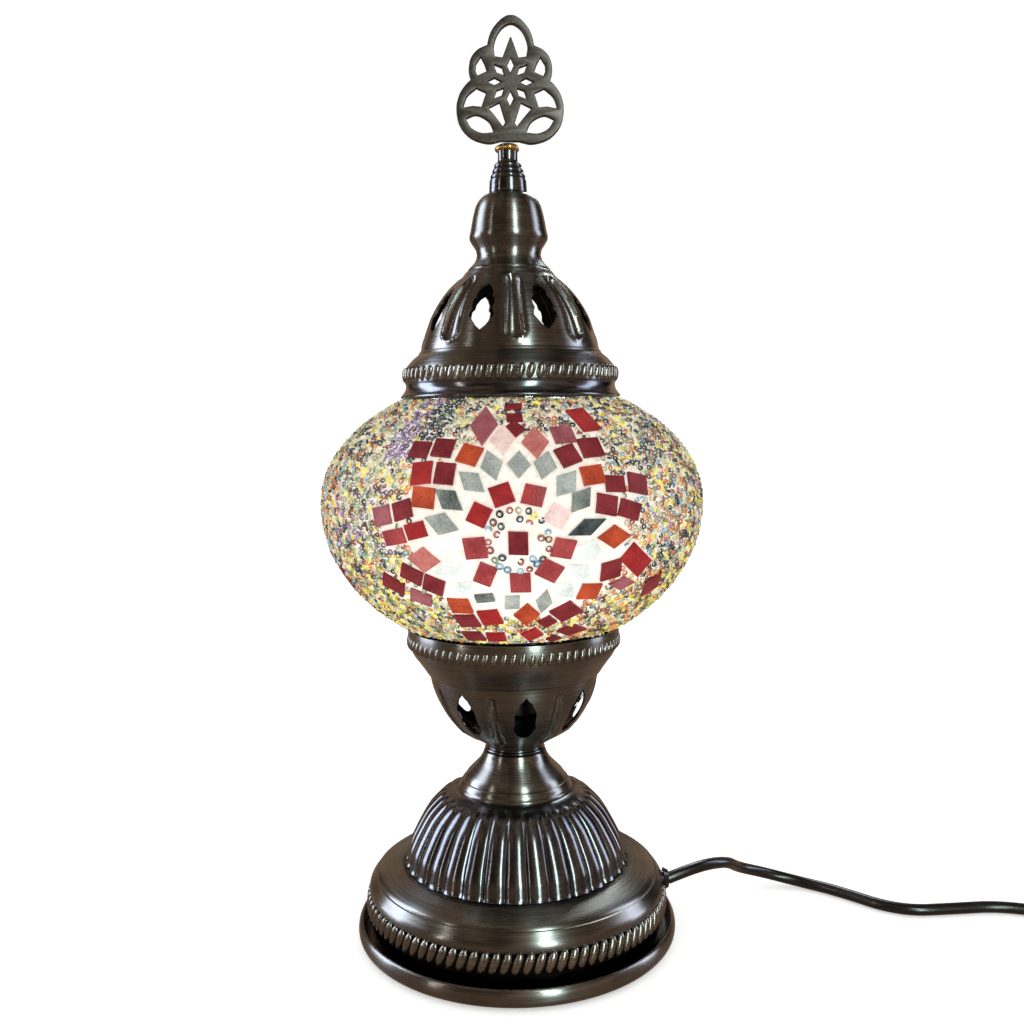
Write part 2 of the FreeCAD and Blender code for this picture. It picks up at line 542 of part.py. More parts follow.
turned("finial_solder", (
    ("{stem_top_radius} + 0.05", "0"), ("{solder_radius}", "0.5"), ("{solder_radius} - 0.3", "1.6"),
    ("{stem_top_radius} + 0.05", "{solder_height}")), f"{STEM_TOP} - {{solder_height}} - 0.4")

# ---------------------------------------------------------------- the lead inside the base

GROMMET_IN = "({pan_radius} - {metal_wall} - 2)"
GROMMET_OUT = "({pan_radius} + {band_thickness} + {grommet_flange})"
sleeve = lying(primitive("Cylinder", "grommet_sleeve", (GROMMET_IN, "0", "{exit_level}"),
                         Radius="{grommet_radius}", Height=f"{GROMMET_OUT} - {GROMMET_IN}"), "x")
flange = lying(primitive("Cone", "grommet_flange", ("{pan_radius} + {band_thickness}", "0", "{exit_level}"),
                         Radius1="{grommet_flange_radius}", Radius2="{grommet_radius} + 0.2",
                         Height="{grommet_flange}"), "x")
grommet_bore = lying(primitive("Cylinder", "grommet_bore", (f"{GROMMET_IN} - 1", "0", "{exit_level}"),
                               Radius="{cord_radius} + {running_clearance}",
                               Height=f"{GROMMET_OUT} - {GROMMET_IN} + 2"), "x")
both = doc.addObject("Part::Fuse", "grommet_body")
both.Base, both.Tool = sleeve, flange
keep(cut(both, [grommet_bore], "grommet"), "cord_grommet")


def corner_arc(before, corner, after, radius):
    """The arc that rounds one corner of a route, tangent to both runs."""
    back, ahead = (before - corner).normalize(), (after - corner).normalize()
    half = back.getAngle(ahead) / 2
    reach = radius / math.tan(half)
    start, end = corner + back * reach, corner + ahead * reach
    middle = (back + ahead).normalize()
    centre = corner + middle * (radius / math.sin(half))
    return start, centre - middle * radius, end


def piped(label, points, radii, radius):
    """A round lead along straight runs joined by tangent arcs."""
    edges = []
    at = points[0]
    for index in range(1, len(points) - 1):
        start, middle, end = corner_arc(points[index - 1], points[index], points[index + 1],
                                        radii[index - 1])
        edges += [Part.LineSegment(at, start).toShape(), Part.Arc(start, middle, end).toShape()]
        at = end
    edges.append(Part.LineSegment(at, points[-1]).toShape())
    path = Part.Wire(edges)
    heading = (points[1] - points[0]).normalize()
    section = Part.Wire(Part.makeCircle(radius, points[0], heading))
    solid = path.makePipeShell([section], True, False)
    ideal = math.pi * radius ** 2 * path.Length
    if abs(solid.Volume / ideal - 1) > 0.01:
        raise ValueError(f"{label}: volume {solid.Volume:.0f} against {ideal:.0f}")
    piece = doc.addObject("Part::Feature", label)
    piece.Shape = solid
    keep(piece, label)
    return path.Length


def free_run(label, points):
    """A free stretch of the lead: each arc as large as its two runs allow."""
    radii = []
    for before, corner, after in zip(points[:-2], points[1:-1], points[2:]):
        half_turn = (corner - before).getAngle(after - corner) / 2
        radii.append(0.45 * min((corner - before).Length, (after - corner).Length) / math.tan(half_turn))
    runs = [(b - a).Length for a, b in zip(points[:-1], points[1:])]
    length = piped(label, points, radii, size("cord_radius"))
    print(label, "length %.1f" % length, "runs", [round(run) for run in runs],
          "radii", [round(value) for value in radii])
    return length


deck_height = number(DECK)
piped("inner_lead", [
    Vector(number(GROMMET_OUT), 0, size("exit_level")),
    Vector(number(GROMMET_IN) - size("inner_lead_end"), 0, size("exit_level")),
    Vector(0, 0, deck_height - size("tube_drop") - size("inner_lead_drop")),
    Vector(0, 0, number(HOLDER) + size("tube_rise") + size("inner_lead_end"))],
    [size("inner_lead_sweep"), size("lead_bend")],
    size("cord_radius"))

# ---------------------------------------------------------------- the free lead, switch, coil and plug

table_lead = size("cord_radius")
switch_in = number("{switch_x} - {switch_length} / 2")
switch_out = number("{switch_x} + {switch_length} / 2")
lamp_run = free_run("cord_lamp_run", [
    Vector(number(GROMMET_OUT), 0, size("exit_level")), Vector(70.9, 1.5, 21.5), Vector(82, 6.1, 22.9),
    Vector(92.8, 14.6, 20.1), Vector(99.7, 27, 12.1), Vector(113.2, 33.9, 6.3),
    Vector(128.9, 32.5, table_lead), Vector(143.2, 23.1, table_lead), Vector(164.1, 2.7, table_lead),
    Vector(190, 4.6, table_lead), Vector(207.4, 6.2, table_lead), Vector(226, 0.5, table_lead),
    Vector(switch_in, size("switch_y"), size("switch_split"))])
coil_out = size("coil_radius") + size("coil_half_width") - table_lead
coil_far = size("coil_y") + coil_out
switch_run = free_run("cord_switch_run", [
    Vector(switch_out, size("switch_y"), size("switch_split")),
    Vector(switch_out + 13, size("switch_y") + 0.8, 3.2),
    Vector(size("coil_x"), coil_far, table_lead)])
coil_near = size("coil_y") - coil_out
plug_run = free_run("cord_plug_run", [
    Vector(size("coil_x"), coil_near, size("coil_height") - table_lead),
    Vector(size("coil_x") - 15, coil_near - 0.2, 10.5),
    Vector(size("plug_x") + size("plug_relief"), size("plug_y"), size("plug_height") / 2)])

COIL_IN = "({coil_radius} - {coil_half_width})"
COIL_OUT = "({coil_radius} + {coil_half_width})"
coil = ring("cord_coil", COIL_IN, COIL_OUT, "0", "{coil_height}")
for key in ("x", "y"):
    coil.setExpression(".Placement.Base." + key, bound("{coil_" + key + "}"))
tie_outer = primitive("Box", "tie_outer", (
    f"{{coil_x}} + {COIL_IN} - {{tie_slack}} - {{tie_thickness}}", "{coil_y} - {tie_width} / 2", "0"),
    Length="{coil_half_width} * 2 + {tie_slack} + {tie_thickness} * 2", Width="{tie_width}",
    Height="{coil_height} + {tie_thickness}")
tie_inner = primitive("Box", "tie_inner", (
    f"{{coil_x}} + {COIL_IN} - {{tie_slack}}", "{coil_y} - {tie_width}", "-1"),
    Length="{coil_half_width} * 2 + {tie_slack}", Width="{tie_width} * 2", Height="{coil_height} + 1")
keep(cut(tie_outer, [tie_inner], "tie"), "coil_tie")

SWITCH_LOW = ("{switch_x} - {switch_length} / 2", "{switch_y} - {switch_width} / 2")
WINDOW = ("{switch_x} - {rocker_length} / 2 - {rocker_gap}", "{switch_y} - {rocker_width} / 2 - {rocker_gap}")
HOLLOW = ("{switch_x} - {switch_length} / 2 + {switch_screw_inset} * 2",
          "{switch_y} - {switch_width} / 2 + {case_wall}")


def case_box(name, low, high):
    """One half of the switch case as a plain block between two heights."""
    return primitive("Box", name, SWITCH_LOW + (low,), Length="{switch_length}", Width="{switch_width}",
                     Height=f"{high} - ({low})")


def case_hollow(name, low, high):
    """The room inside the switch case between two heights."""
    return primitive("Box", name, HOLLOW + (low,), Length="{switch_length} - {switch_screw_inset} * 4",
                     Width="{switch_width} - {case_wall} * 2", Height=f"{high} - ({low})")


def lead_bore(name):
    """The lead's bore through both ends of the switch case."""
    return lying(primitive("Cylinder", name, ("{switch_x} - {switch_length}", "{switch_y}",
                                              "{switch_split}"),
                           Radius="{cord_radius}", Height="{switch_length} * 2"), "x")


def screws(name, radius, low, high):
    """Two upright cylinders at the ends of the switch case, beside the lead."""
    return group([primitive("Cylinder", f"{name}_{side}", (
        f"{{switch_x}} {sign} ({{switch_length}} / 2 - {{switch_screw_inset}})",
        f"{{switch_y}} {sign} {{switch_width}} * 0.27", low), Radius=radius, Height=f"{high} - ({low})")
        for side, sign in (("left", "-"), ("right", "+"))], name)


SCREW_LOW, SCREW_HIGH = "1", "{switch_height} - {case_wall} - 1"
lower = cut(
    case_box("lower_block", "0", "{switch_split}"),
    [case_hollow("lower_room", "{case_wall}", "{switch_split} + 1"), lead_bore("lower_bore"),
     screws("lower_screw_holes", "{switch_screw_radius} + {fixing_clearance}", "-1",
            "{switch_split} + 1")], "switch_lower")
keep(lower, "switch_lower_case")
upper = cut(
    case_box("upper_block", "{switch_split}", "{switch_height}"),
    [case_hollow("upper_room", "{switch_split} - 1", "{switch_height} - {case_wall}"),
     lead_bore("upper_bore"),
     primitive("Box", "rocker_window", WINDOW + ("{switch_height} - {case_wall} - 1",),
               Length="{rocker_length} + {rocker_gap} * 2", Width="{rocker_width} + {rocker_gap} * 2",
               Height="{case_wall} + 3"),
     screws("upper_screw_holes", "{switch_screw_radius} + {fixing_clearance}", "{switch_split} - 1",
            SCREW_HIGH)], "switch_upper")
keep(upper, "switch_upper_case")
keep(screws("switch_screw_pair", "{switch_screw_radius}", SCREW_LOW, SCREW_HIGH + " - 0.5"),
     "switch_screws")
terminals = group([lying(primitive("Cylinder", f"terminal_{side}", (
    f"{{switch_x}} {sign} ({{rocker_length}} / 2 + {{terminal_radius}})",
    "{switch_y} - {terminal_length} / 2", "{case_wall} + {terminal_radius} + 0.1"),
    Radius="{terminal_radius}", Height="{terminal_length}"), "y")
    for side, sign in (("left", "-"), ("right", "+"))], "terminal_pair")
keep(terminals, "switch_terminals")

rocker = doc.addObject("PartDesign::Body", "switch_rocker")
rocker_pad = rocker.newObject("PartDesign::Pad", "rocker_pad")
HALF = "{rocker_length} / 2"
ROCKER_TOP = "{switch_height} + {rocker_rise}"
rocker_pad.Profile = sketch_on(rocker, "XZ_Plane", (
    ("-2", "{switch_height} - {rocker_depth}"), ("2", "{switch_height} - {rocker_depth}"),
    (f"{HALF} - 0.8", "{switch_height} - {case_wall}"), (HALF, "{switch_height}"),
    (f"{HALF} - 0.3", f"{ROCKER_TOP} - 0.3"), ("0", f"{ROCKER_TOP} - 1.1"),
    (f"-{HALF} + 0.3", f"{ROCKER_TOP} - 0.3"), (f"-{HALF}", "{switch_height}"),
    (f"-{HALF} + 0.8", "{switch_height} - {case_wall}")))
rocker_pad.Midplane = True
rocker_pad.setExpression("Length", bound("{rocker_width}"))
keep(rocker, "switch_rocker")
for key in ("x", "y"):
    rocker.setExpression(".Placement.Base." + key, bound("{switch_" + key + "}"))

PLUG_MIDDLE = "{plug_height} / 2"
plug_block = primitive("Box", "plug_block", (
    "{plug_x} - {plug_length}", "{plug_y} - {plug_width} / 2", "0"),
    Length="{plug_length}", Width="{plug_width}", Height="{plug_height}")
plug_nose = lying(primitive("Cone", "plug_nose", ("{plug_x}", "{plug_y}", PLUG_MIDDLE),
                            Radius1="{plug_height} / 2 - 1", Radius2="{cord_radius} + 1",
                            Height="{plug_relief}"), "x")
plug_whole = doc.addObject("Part::Fuse", "plug_whole")
plug_whole.Base, plug_whole.Tool = plug_block, plug_nose
pin_pair = {}
for use, extra in (("hole", "{fixing_clearance}"), ("pin", "0")):
    pin_pair[use] = group([lying(primitive("Cylinder", f"plug_{use}_{side}", (
        f"{{plug_x}} - {{plug_length}} - {{pin_length}}", f"{{plug_y}} {sign} {{pin_spacing}} / 2",
        PLUG_MIDDLE), Radius=f"{{pin_radius}} + {extra}", Height="{pin_length} + {pin_grip}"), "x")
        for side, sign in (("left", "-"), ("right", "+"))], f"plug_{use}_pair")
keep(cut(plug_whole, [pin_pair["hole"]], "plug_cut"), "plug_body")
keep(pin_pair["pin"], "plug_pins")

# ---------------------------------------------------------------- checks and files

doc.recompute()
for item in doc.Objects:
    if {"Invalid", "Error"} & set(item.State):
        raise RuntimeError(f"{item.Label}: {item.State}")
for piece in parts:
    if piece.Shape.isNull() or not piece.Shape.isValid() or not piece.Shape.Solids:
        raise RuntimeError(f"{piece.Label}: not a sound solid")
whole_lead = lamp_run + switch_run + plug_run + size("switch_length")
turn_length = 2 * math.pi * size("coil_radius")
print("lead outside the coil %.0f, one turn %.0f" % (whole_lead, turn_length))
os.makedirs("parts", exist_ok=True)
for piece in parts:
    piece.Shape.exportStep(os.path.join("parts", piece.Label + ".step"))
print(len(parts), "pieces,", "top at %.1f" % max(piece.Shape.BoundBox.ZMax for piece in parts))
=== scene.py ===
"""A mosaic glass table lamp: spun and pressed antique bronze, a mosaic globe, a cast finial, a mains lead.

Every outline is a list of (radius, height) in millimetres above the foot of its own CAD node, so that
levels come from the frame. Finished meshes are in metres. Angles round the lamp count from the front
(-Y), with positive angles towards +X.
"""

import logging
import math
import random
from collections.abc import Callable, Iterable, Iterator, Sequence
from contextlib import contextmanager
from dataclasses import dataclass, field
from enum import Enum

import bmesh
import bpy
from mathutils import Euler, Matrix, Vector


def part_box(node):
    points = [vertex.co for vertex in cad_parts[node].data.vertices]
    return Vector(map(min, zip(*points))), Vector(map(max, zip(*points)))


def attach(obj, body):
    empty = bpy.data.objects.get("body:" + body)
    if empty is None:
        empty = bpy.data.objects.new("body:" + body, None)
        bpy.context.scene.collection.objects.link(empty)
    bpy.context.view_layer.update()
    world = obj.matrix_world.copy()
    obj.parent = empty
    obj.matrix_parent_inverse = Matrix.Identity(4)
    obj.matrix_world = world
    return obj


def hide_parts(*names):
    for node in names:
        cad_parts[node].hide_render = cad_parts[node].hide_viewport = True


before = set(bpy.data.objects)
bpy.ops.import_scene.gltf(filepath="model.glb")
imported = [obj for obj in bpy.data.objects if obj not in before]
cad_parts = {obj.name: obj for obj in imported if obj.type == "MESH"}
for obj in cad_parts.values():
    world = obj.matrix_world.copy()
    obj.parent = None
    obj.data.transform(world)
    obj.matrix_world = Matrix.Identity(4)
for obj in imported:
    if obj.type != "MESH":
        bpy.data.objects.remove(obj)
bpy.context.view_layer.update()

MM = 0.001
MERGE = 1e-6
Object = bpy.types.Object
Material = bpy.types.Material
Outline = Sequence[tuple[float, float]]
log = logging.getLogger("lamp")


# ---------------------------------------------------------------- drawing and shaping

def nothing_selected() -> None:
    """Leaves every object unselected, in object mode."""
    if bpy.context.object and bpy.context.object.mode != "OBJECT":
        bpy.ops.object.mode_set(mode="OBJECT")
    bpy.ops.object.select_all(action="DESELECT")


def only(piece: Object) -> None:
    """Makes one piece the selected and active one."""
    nothing_selected()
    piece.select_set(True)
    bpy.context.view_layer.objects.active = piece


@contextmanager
def editing(piece: Object) -> Iterator[None]:
    """Edit mode on one piece, with all of it selected at first."""
    only(piece)
    bpy.ops.object.mode_set(mode="EDIT")
    bpy.ops.mesh.select_all(action="SELECT")
    yield
    bpy.ops.object.mode_set(mode="OBJECT")


def flowing(points: Outline, spacing: float = 1.5) -> list[tuple[float, float]]:
    """A smooth line through a few points of an outline.

    Args:
        points: The points that the line passes through, in millimetres.
        spacing: The longest step between two points of the result.

    Returns:
        The line's points, with both ends kept.
    """
    known = [Vector(point) for point in points]
    before, after = 2 * known[0] - known[1], 2 * known[-1] - known[-2]
    ring = [before, *known, after]
    line = []
    for a, b, c, d in zip(ring, ring[1:], ring[2:], ring[3:]):
        steps = max(1, math.ceil((c - b).length / spacing))
        for step in range(steps):
            t = step / steps
            line.append(0.5 * (2 * b + (c - a) * t + (2 * a - 5 * b + 4 * c - d) * t ** 2
                               + (3 * b - a - 3 * c + d) * t ** 3))
    return [tuple(point) for point in [*line, known[-1]]]


def joined_runs(*runs: Outline) -> list[tuple[float, float]]:
    """Outline runs end to end, with the corners that they share kept once."""
    whole = list(runs[0])
    for run in runs[1:]:
        whole += run[1:] if math.dist(run[0], whole[-1]) < 1e-6 else run
    return whole


def drawn(name: str, places: Sequence[Vector]) -> Object:
    """A wire through the places, drawn by extruding one vertex, left in edit mode."""
    nothing_selected()
    bpy.ops.mesh.primitive_plane_add(size=2 * MM, location=(0, 0, 0))
    piece = bpy.context.object
    piece.name = piece.data.name = name
    bpy.ops.object.mode_set(mode="EDIT")
    bpy.ops.mesh.select_mode(type="VERT")
    bpy.ops.mesh.select_all(action="SELECT")
    bpy.ops.mesh.merge(type="CENTER")
    bpy.ops.transform.translate(value=places[0])
    for here, there in zip(places, places[1:]):
        bpy.ops.mesh.extrude_region_move(TRANSFORM_OT_translate={"value": tuple(there - here)})
    return piece


def face_outwards(piece: Object) -> None:
    """Turns an open shell's faces away from its middle, where the recalculation chose the inside."""
    corners = [Vector(corner) for corner in piece.bound_box]
    middle = sum(corners, Vector()) / len(corners)
    outward = sum(face.area * (face.center - middle).dot(face.normal) for face in piece.data.polygons)
    if outward < 0:
        with editing(piece):
            bpy.ops.mesh.flip_normals()


def turned(name: str, outline: Outline, foot: float, steps: int = 96) -> Object:
    """A shell spun about the lamp's axis.

    Args:
        name: The piece's name.
        outline: Its section, (radius, height above foot) in millimetres.
        foot: The height of the section's zero, in metres.
        steps: How many facets go round.

    Returns:
        The piece, in object mode, with its faces outwards.
    """
    piece = drawn(name, [Vector((radius * MM, 0, foot + height * MM)) for radius, height in outline])
    bpy.ops.mesh.select_all(action="SELECT")
    bpy.ops.mesh.spin(steps=steps, angle=math.tau, center=(0, 0, 0), axis=(0, 0, 1))
    bpy.ops.mesh.select_all(action="SELECT")
    bpy.ops.mesh.remove_doubles(threshold=MERGE)
    bpy.ops.mesh.normals_make_consistent(inside=False)
    bpy.ops.object.mode_set(mode="OBJECT")
    face_outwards(piece)
    return piece


def modified(piece: Object, kind: str, **settings: object) -> Object:
    """Adds one modifier with its settings and applies it."""
    only(piece)
    modifier = piece.modifiers.new(kind.title(), kind)
    for key, value in settings.items():
        setattr(modifier, key, value)
    bpy.ops.object.modifier_apply(modifier=modifier.name)
    return piece


def walled(piece: Object, wall: float, outside: Material, inside: Material) -> Object:
    """Gives a shell its sheet thickness, in millimetres, on the inner side.

    Args:
        piece: The shell, whose faces look outwards.
        wall: The sheet's thickness, in millimetres.
        outside: The finish of the faces that are there already.
        inside: The finish of the new inner faces.

    Returns:
        The same piece, with both finishes.
    """
    piece.data.materials.append(outside)
    piece.data.materials.append(inside)
    return modified(piece, "SOLIDIFY", thickness=wall * MM, offset=-1, use_even_offset=True,
                    material_offset=1)


def painted(piece: Object, finish: Material, wanted: Callable[[Vector], bool]) -> Object:
    """Gives another finish to the faces whose centres pass the test."""
    piece.data.materials.append(finish)
    for face in piece.data.polygons:
        if wanted(face.center):
            face.material_index = len(piece.data.materials) - 1
    return piece


def smoothed(piece: Object, degrees: float = 35) -> Object:
    """Shades a piece smooth, with edges sharper than the angle kept crisp."""
    only(piece)
    bpy.ops.object.shade_smooth_by_angle(angle=math.radians(degrees))
    return piece


def pushed(piece: Object, push: Callable[[float, float, float], float]) -> Object:
    """Moves every vertex along its normal, as a press tool does.

    Args:
        piece: A shell round the lamp's axis.
        push: Gives the move in millimetres for an angle, a radius and a height in millimetres.

    Returns:
        The same piece.
    """
    moves = []
    for vertex in piece.data.vertices:
        x, y, z = vertex.co
        distance = push(math.atan2(x, -y), math.hypot(x, y) / MM, z / MM)
        moves.append(vertex.normal * distance * MM)
    for vertex, move in zip(piece.data.vertices, moves):
        vertex.co += move
    piece.data.update()
    return piece


def copied(name: str, pattern: Object, places: Iterable[Matrix]) -> Object:
    """One piece made of a pattern copied to every place, each copy with its own mesh.

    Args:
        name: The new piece's name.
        pattern: The modelled pattern, at the origin. It is kept.
        places: Where each copy goes.

    Returns:
        The new piece.
    """
    whole = bmesh.new()
    for place in places:
        copy = pattern.data.copy()
        copy.transform(place)
        whole.from_mesh(copy)
        bpy.data.meshes.remove(copy)
    mesh = bpy.data.meshes.new(name)
    whole.to_mesh(mesh)
    whole.free()
    piece = bpy.data.objects.new(name, mesh)
    bpy.context.collection.objects.link(piece)
    return piece


def discard(*patterns: Object) -> None:
    """Removes patterns and cutters that have done their work."""
    for pattern in patterns:
        bpy.data.objects.remove(pattern)


def mirrored(right: Outline) -> list[tuple[float, float]]:
    """A closed outline from its right half, which starts and ends on or beside the middle line."""
    left = [(-x, z) for x, z in reversed(right) if abs(x) > MERGE]
    return [*right, *left]


def rounded_block(name: str, low: Vector, high: Vector, corner: float, edge: float) -> Object:
    """A moulded block with large upright corners and softened edges.

    Args:
        name: The piece's name.
        low: Its lowest corner, in metres.
        high: Its highest corner, in metres.
        corner: The radius of the upright corners, in metres.
        edge: The radius of the other edges, in metres.

    Returns:
        The piece, in object mode.
    """
    nothing_selected()
    bpy.ops.mesh.primitive_cube_add(size=1, location=(0, 0, 0))
    piece = bpy.context.object
    piece.name = piece.data.name = name
    with editing(piece):
        bpy.ops.transform.resize(value=high - low)
        bpy.ops.transform.translate(value=(low + high) / 2)
        select_edges(piece, lambda a, b: abs(a.z - b.z) > 0.5 * (high.z - low.z))
        bpy.ops.mesh.bevel(offset=corner, segments=8, affect="EDGES")
        if edge:
            select_edges(piece, lambda a, b: abs(a.z - b.z) < MERGE
                         and (a.z > high.z - MERGE or a.z < low.z + MERGE))
            bpy.ops.mesh.bevel(offset=edge, segments=4, affect="EDGES")
    return piece


def select_edges(piece: Object, wanted: Callable[[Vector, Vector], bool]) -> None:
    """Selects the edges of the piece in edit mode whose two ends pass the test."""
    bpy.ops.mesh.select_mode(type="EDGE")
    bpy.ops.mesh.select_all(action="DESELECT")
    shape = bmesh.from_edit_mesh(piece.data)
    for edge in shape.edges:
        edge.select = wanted(edge.verts[0].co, edge.verts[1].co)
    shape.select_flush(True)
    bmesh.update_edit_mesh(piece.data)


# ---------------------------------------------------------------- finishes

class Slot(Enum):
    """The record's material slots."""

    BRONZE = "antique_bronze"
    ZINC = "zinc_steel"
    BRASS = "brass"
    NICKEL = "nickel_plate"
    PLASTIC = "black_plastic"
    CERAMIC = "ceramic"
    PVC = "black_pvc"
    FELT = "black_felt"
    CLEAR = "clear_glass"
    BULB = "bulb_glass"
    GROUT = "white_grout"
    MOSAIC = "mosaic_glass"


def linear(colour: str) -> tuple[float, float, float, float]:
    """An sRGB hex colour as linear RGBA."""
    shares = [int(colour[start:start + 2], 16) / 255 for start in (1, 3, 5)]
    straight = [share / 12.92 if share <= 0.04045 else ((share + 0.055) / 1.055) ** 2.4
                for share in shares]
    return (*straight, 1.0)


def node(tree: bpy.types.NodeTree, kind: str, inputs: dict | None = None,
         stops: Sequence[tuple[float, str]] = (), **settings: object) -> bpy.types.Node:
    """Adds one shader node.

    Args:
        tree: The node tree that it joins.
        kind: The node's type name, without its "ShaderNode".
        inputs: Values or output sockets for its inputs, by name or number.
        stops: For a colour ramp, its (place, hex colour) stops.
        **settings: The node's own properties.

    Returns:
        The node.
    """
    added = tree.nodes.new("ShaderNode" + kind)
    for key, value in settings.items():
        setattr(added, key, value)
    for key, value in (inputs or {}).items():
        if isinstance(value, bpy.types.NodeSocket):
            tree.links.new(value, added.inputs[key])
        else:
            added.inputs[key].default_value = value
    for place, (position, colour) in enumerate(stops):
        elements = added.color_ramp.elements
        element = elements[place] if place < len(elements) else elements.new(position)
        element.position = position
        element.color = linear(colour)
    return added


def blank(name: str) -> tuple[Material, bpy.types.NodeTree]:
    """A material and its empty node tree."""
    material = bpy.data.materials.new(name)
    material.use_nodes = True
    material.node_tree.nodes.clear()
    return material, material.node_tree


@dataclass(frozen=True)
class AntiqueBronze:
    """Antique bronze plate on steel sheet, spun on a lathe, brushed and lacquered.

    The lathe leaves fine rings round the axis that draw each light out into an upright streak; the
    plating varies from warm grey to nearly black, and the lacquer keeps it glossy.
    """

    name: str
    light: str = "#84827E"
    dark: str = "#4E4B48"
    roughness: float = 0.27
    brush: float = 0.1
    anisotropy: float = 0.85
    ring_pitch: float = 0.45
    patch: float = 22.0

    def make(self) -> Material:
        """The material."""
        material, tree = blank(self.name)
        place = node(tree, "TexCoord").outputs["Object"]
        flat = node(tree, "VectorMath", {0: place, 1: (1, 1, 0)}, operation="MULTIPLY").outputs[0]
        radius = node(tree, "VectorMath", {0: flat}, operation="LENGTH").outputs["Value"]
        split = node(tree, "SeparateXYZ", {0: place}).outputs
        turn = node(tree, "Math", {0: split[1], 1: split[0]}, operation="ARCTAN2").outputs[0]
        slow = node(tree, "Math", {0: turn, 1: 0.6 * MM}, operation="MULTIPLY").outputs[0]
        rings = node(tree, "CombineXYZ", {0: radius, 1: slow, 2: split[2]}).outputs[0]
        fine = node(tree, "TexNoise", {"Vector": rings, "Scale": 1 / (self.ring_pitch * MM),
                                       "Detail": 3.0, "Roughness": 0.6}).outputs[0]
        cloud = node(tree, "TexNoise", {"Vector": place, "Scale": 1 / (self.patch * MM),
                                        "Detail": 4.0}).outputs[0]
        mixed = node(tree, "Math", {0: cloud, 1: fine}, operation="ADD").outputs[0]
        tone = node(tree, "MapRange", {"Value": mixed, "From Min": 0.55, "From Max": 1.45}).outputs[0]
        colour = node(tree, "ValToRGB", {"Fac": tone}, ((0.0, self.dark), (1.0, self.light)))
        rough = node(tree, "MapRange", {
            "Value": fine, "From Min": 0.3, "From Max": 0.7, "To Min": self.roughness - 0.03,
            "To Max": self.roughness + 0.05})
        bump = node(tree, "Bump", {"Height": fine, "Strength": self.brush, "Distance": 0.04 * MM})
        around = node(tree, "Tangent", direction_type="RADIAL", axis="Z")
        shader = node(tree, "BsdfPrincipled", {
            "Base Color": colour.outputs[0], "Metallic": 1.0, "Roughness": rough.outputs[0],
            "Anisotropic": self.anisotropy, "Anisotropic Rotation": 0.25, "Normal": bump.outputs[0],
            "Tangent": around.outputs[0]})
        node(tree, "OutputMaterial", {"Surface": shader.outputs[0]})
        return material


@dataclass(frozen=True)
class MosaicGlass:
    """Stained glass, rolled with a hammered face, cut into tiles and lit from behind.

    The light inside glows through it unevenly, deeper where the sheet is thick, while the face keeps
    small sharp reflections.
    """

    name: str
    deep: str
    bright: str
    glow: float
    relief: float
    roughness: float = 0.3
    dimple: float = 0.9
    swell: float = 7.0

    def make(self) -> Material:
        """The material."""
        material, tree = blank(self.name)
        place = node(tree, "TexCoord").outputs["Object"]
        hammered = node(tree, "TexNoise", {"Vector": place, "Scale": 1 / (self.dimple * MM),
                                           "Detail": 3.0, "Roughness": 0.65}).outputs[0]
        sheet = node(tree, "TexNoise", {"Vector": place, "Scale": 1 / (self.swell * MM),
                                        "Detail": 1.0}).outputs[0]
        both = node(tree, "Math", {0: hammered, 1: sheet}, operation="ADD").outputs[0]
        tone = node(tree, "MapRange", {"Value": both, "From Min": 0.72, "From Max": 1.28}).outputs[0]
        colour = node(tree, "ValToRGB", {"Fac": tone}, ((0.0, self.deep), (1.0, self.bright))).outputs[0]
        bump = node(tree, "Bump", {"Height": hammered, "Strength": self.relief, "Distance": 0.15 * MM})
        shader = node(tree, "BsdfPrincipled", {
            "Base Color": colour, "Roughness": self.roughness, "IOR": 1.5, "Normal": bump.outputs[0],
            "Specular IOR Level": 0.12, "Emission Color": colour, "Emission Strength": self.glow})
        node(tree, "OutputMaterial", {"Surface": shader.outputs[0]})
        return material


@dataclass(frozen=True)
class SeedGlass:
    """Seed-bead glass: drawn tube, cut and fire polished, so each bead is round, glossy and of one tone."""

    name: str
    deep: str
    bright: str
    glow: float
    bead: float = 2.6

    def make(self) -> Material:
        """The material."""
        material, tree = blank(self.name)
        place = node(tree, "TexCoord").outputs["Object"]
        cell = node(tree, "VectorMath", {0: place, 1: (self.bead * MM,) * 3}, operation="SNAP").outputs[0]
        each = node(tree, "TexWhiteNoise", {"Vector": cell}, noise_dimensions="3D").outputs["Value"]
        colour = node(tree, "ValToRGB", {"Fac": each}, ((0.0, self.deep), (1.0, self.bright))).outputs[0]
        shader = node(tree, "BsdfPrincipled", {
            "Base Color": colour, "Roughness": 0.12, "IOR": 1.52, "Emission Color": colour,
            "Emission Strength": self.glow})
        node(tree, "OutputMaterial", {"Surface": shader.outputs[0]})
        return material


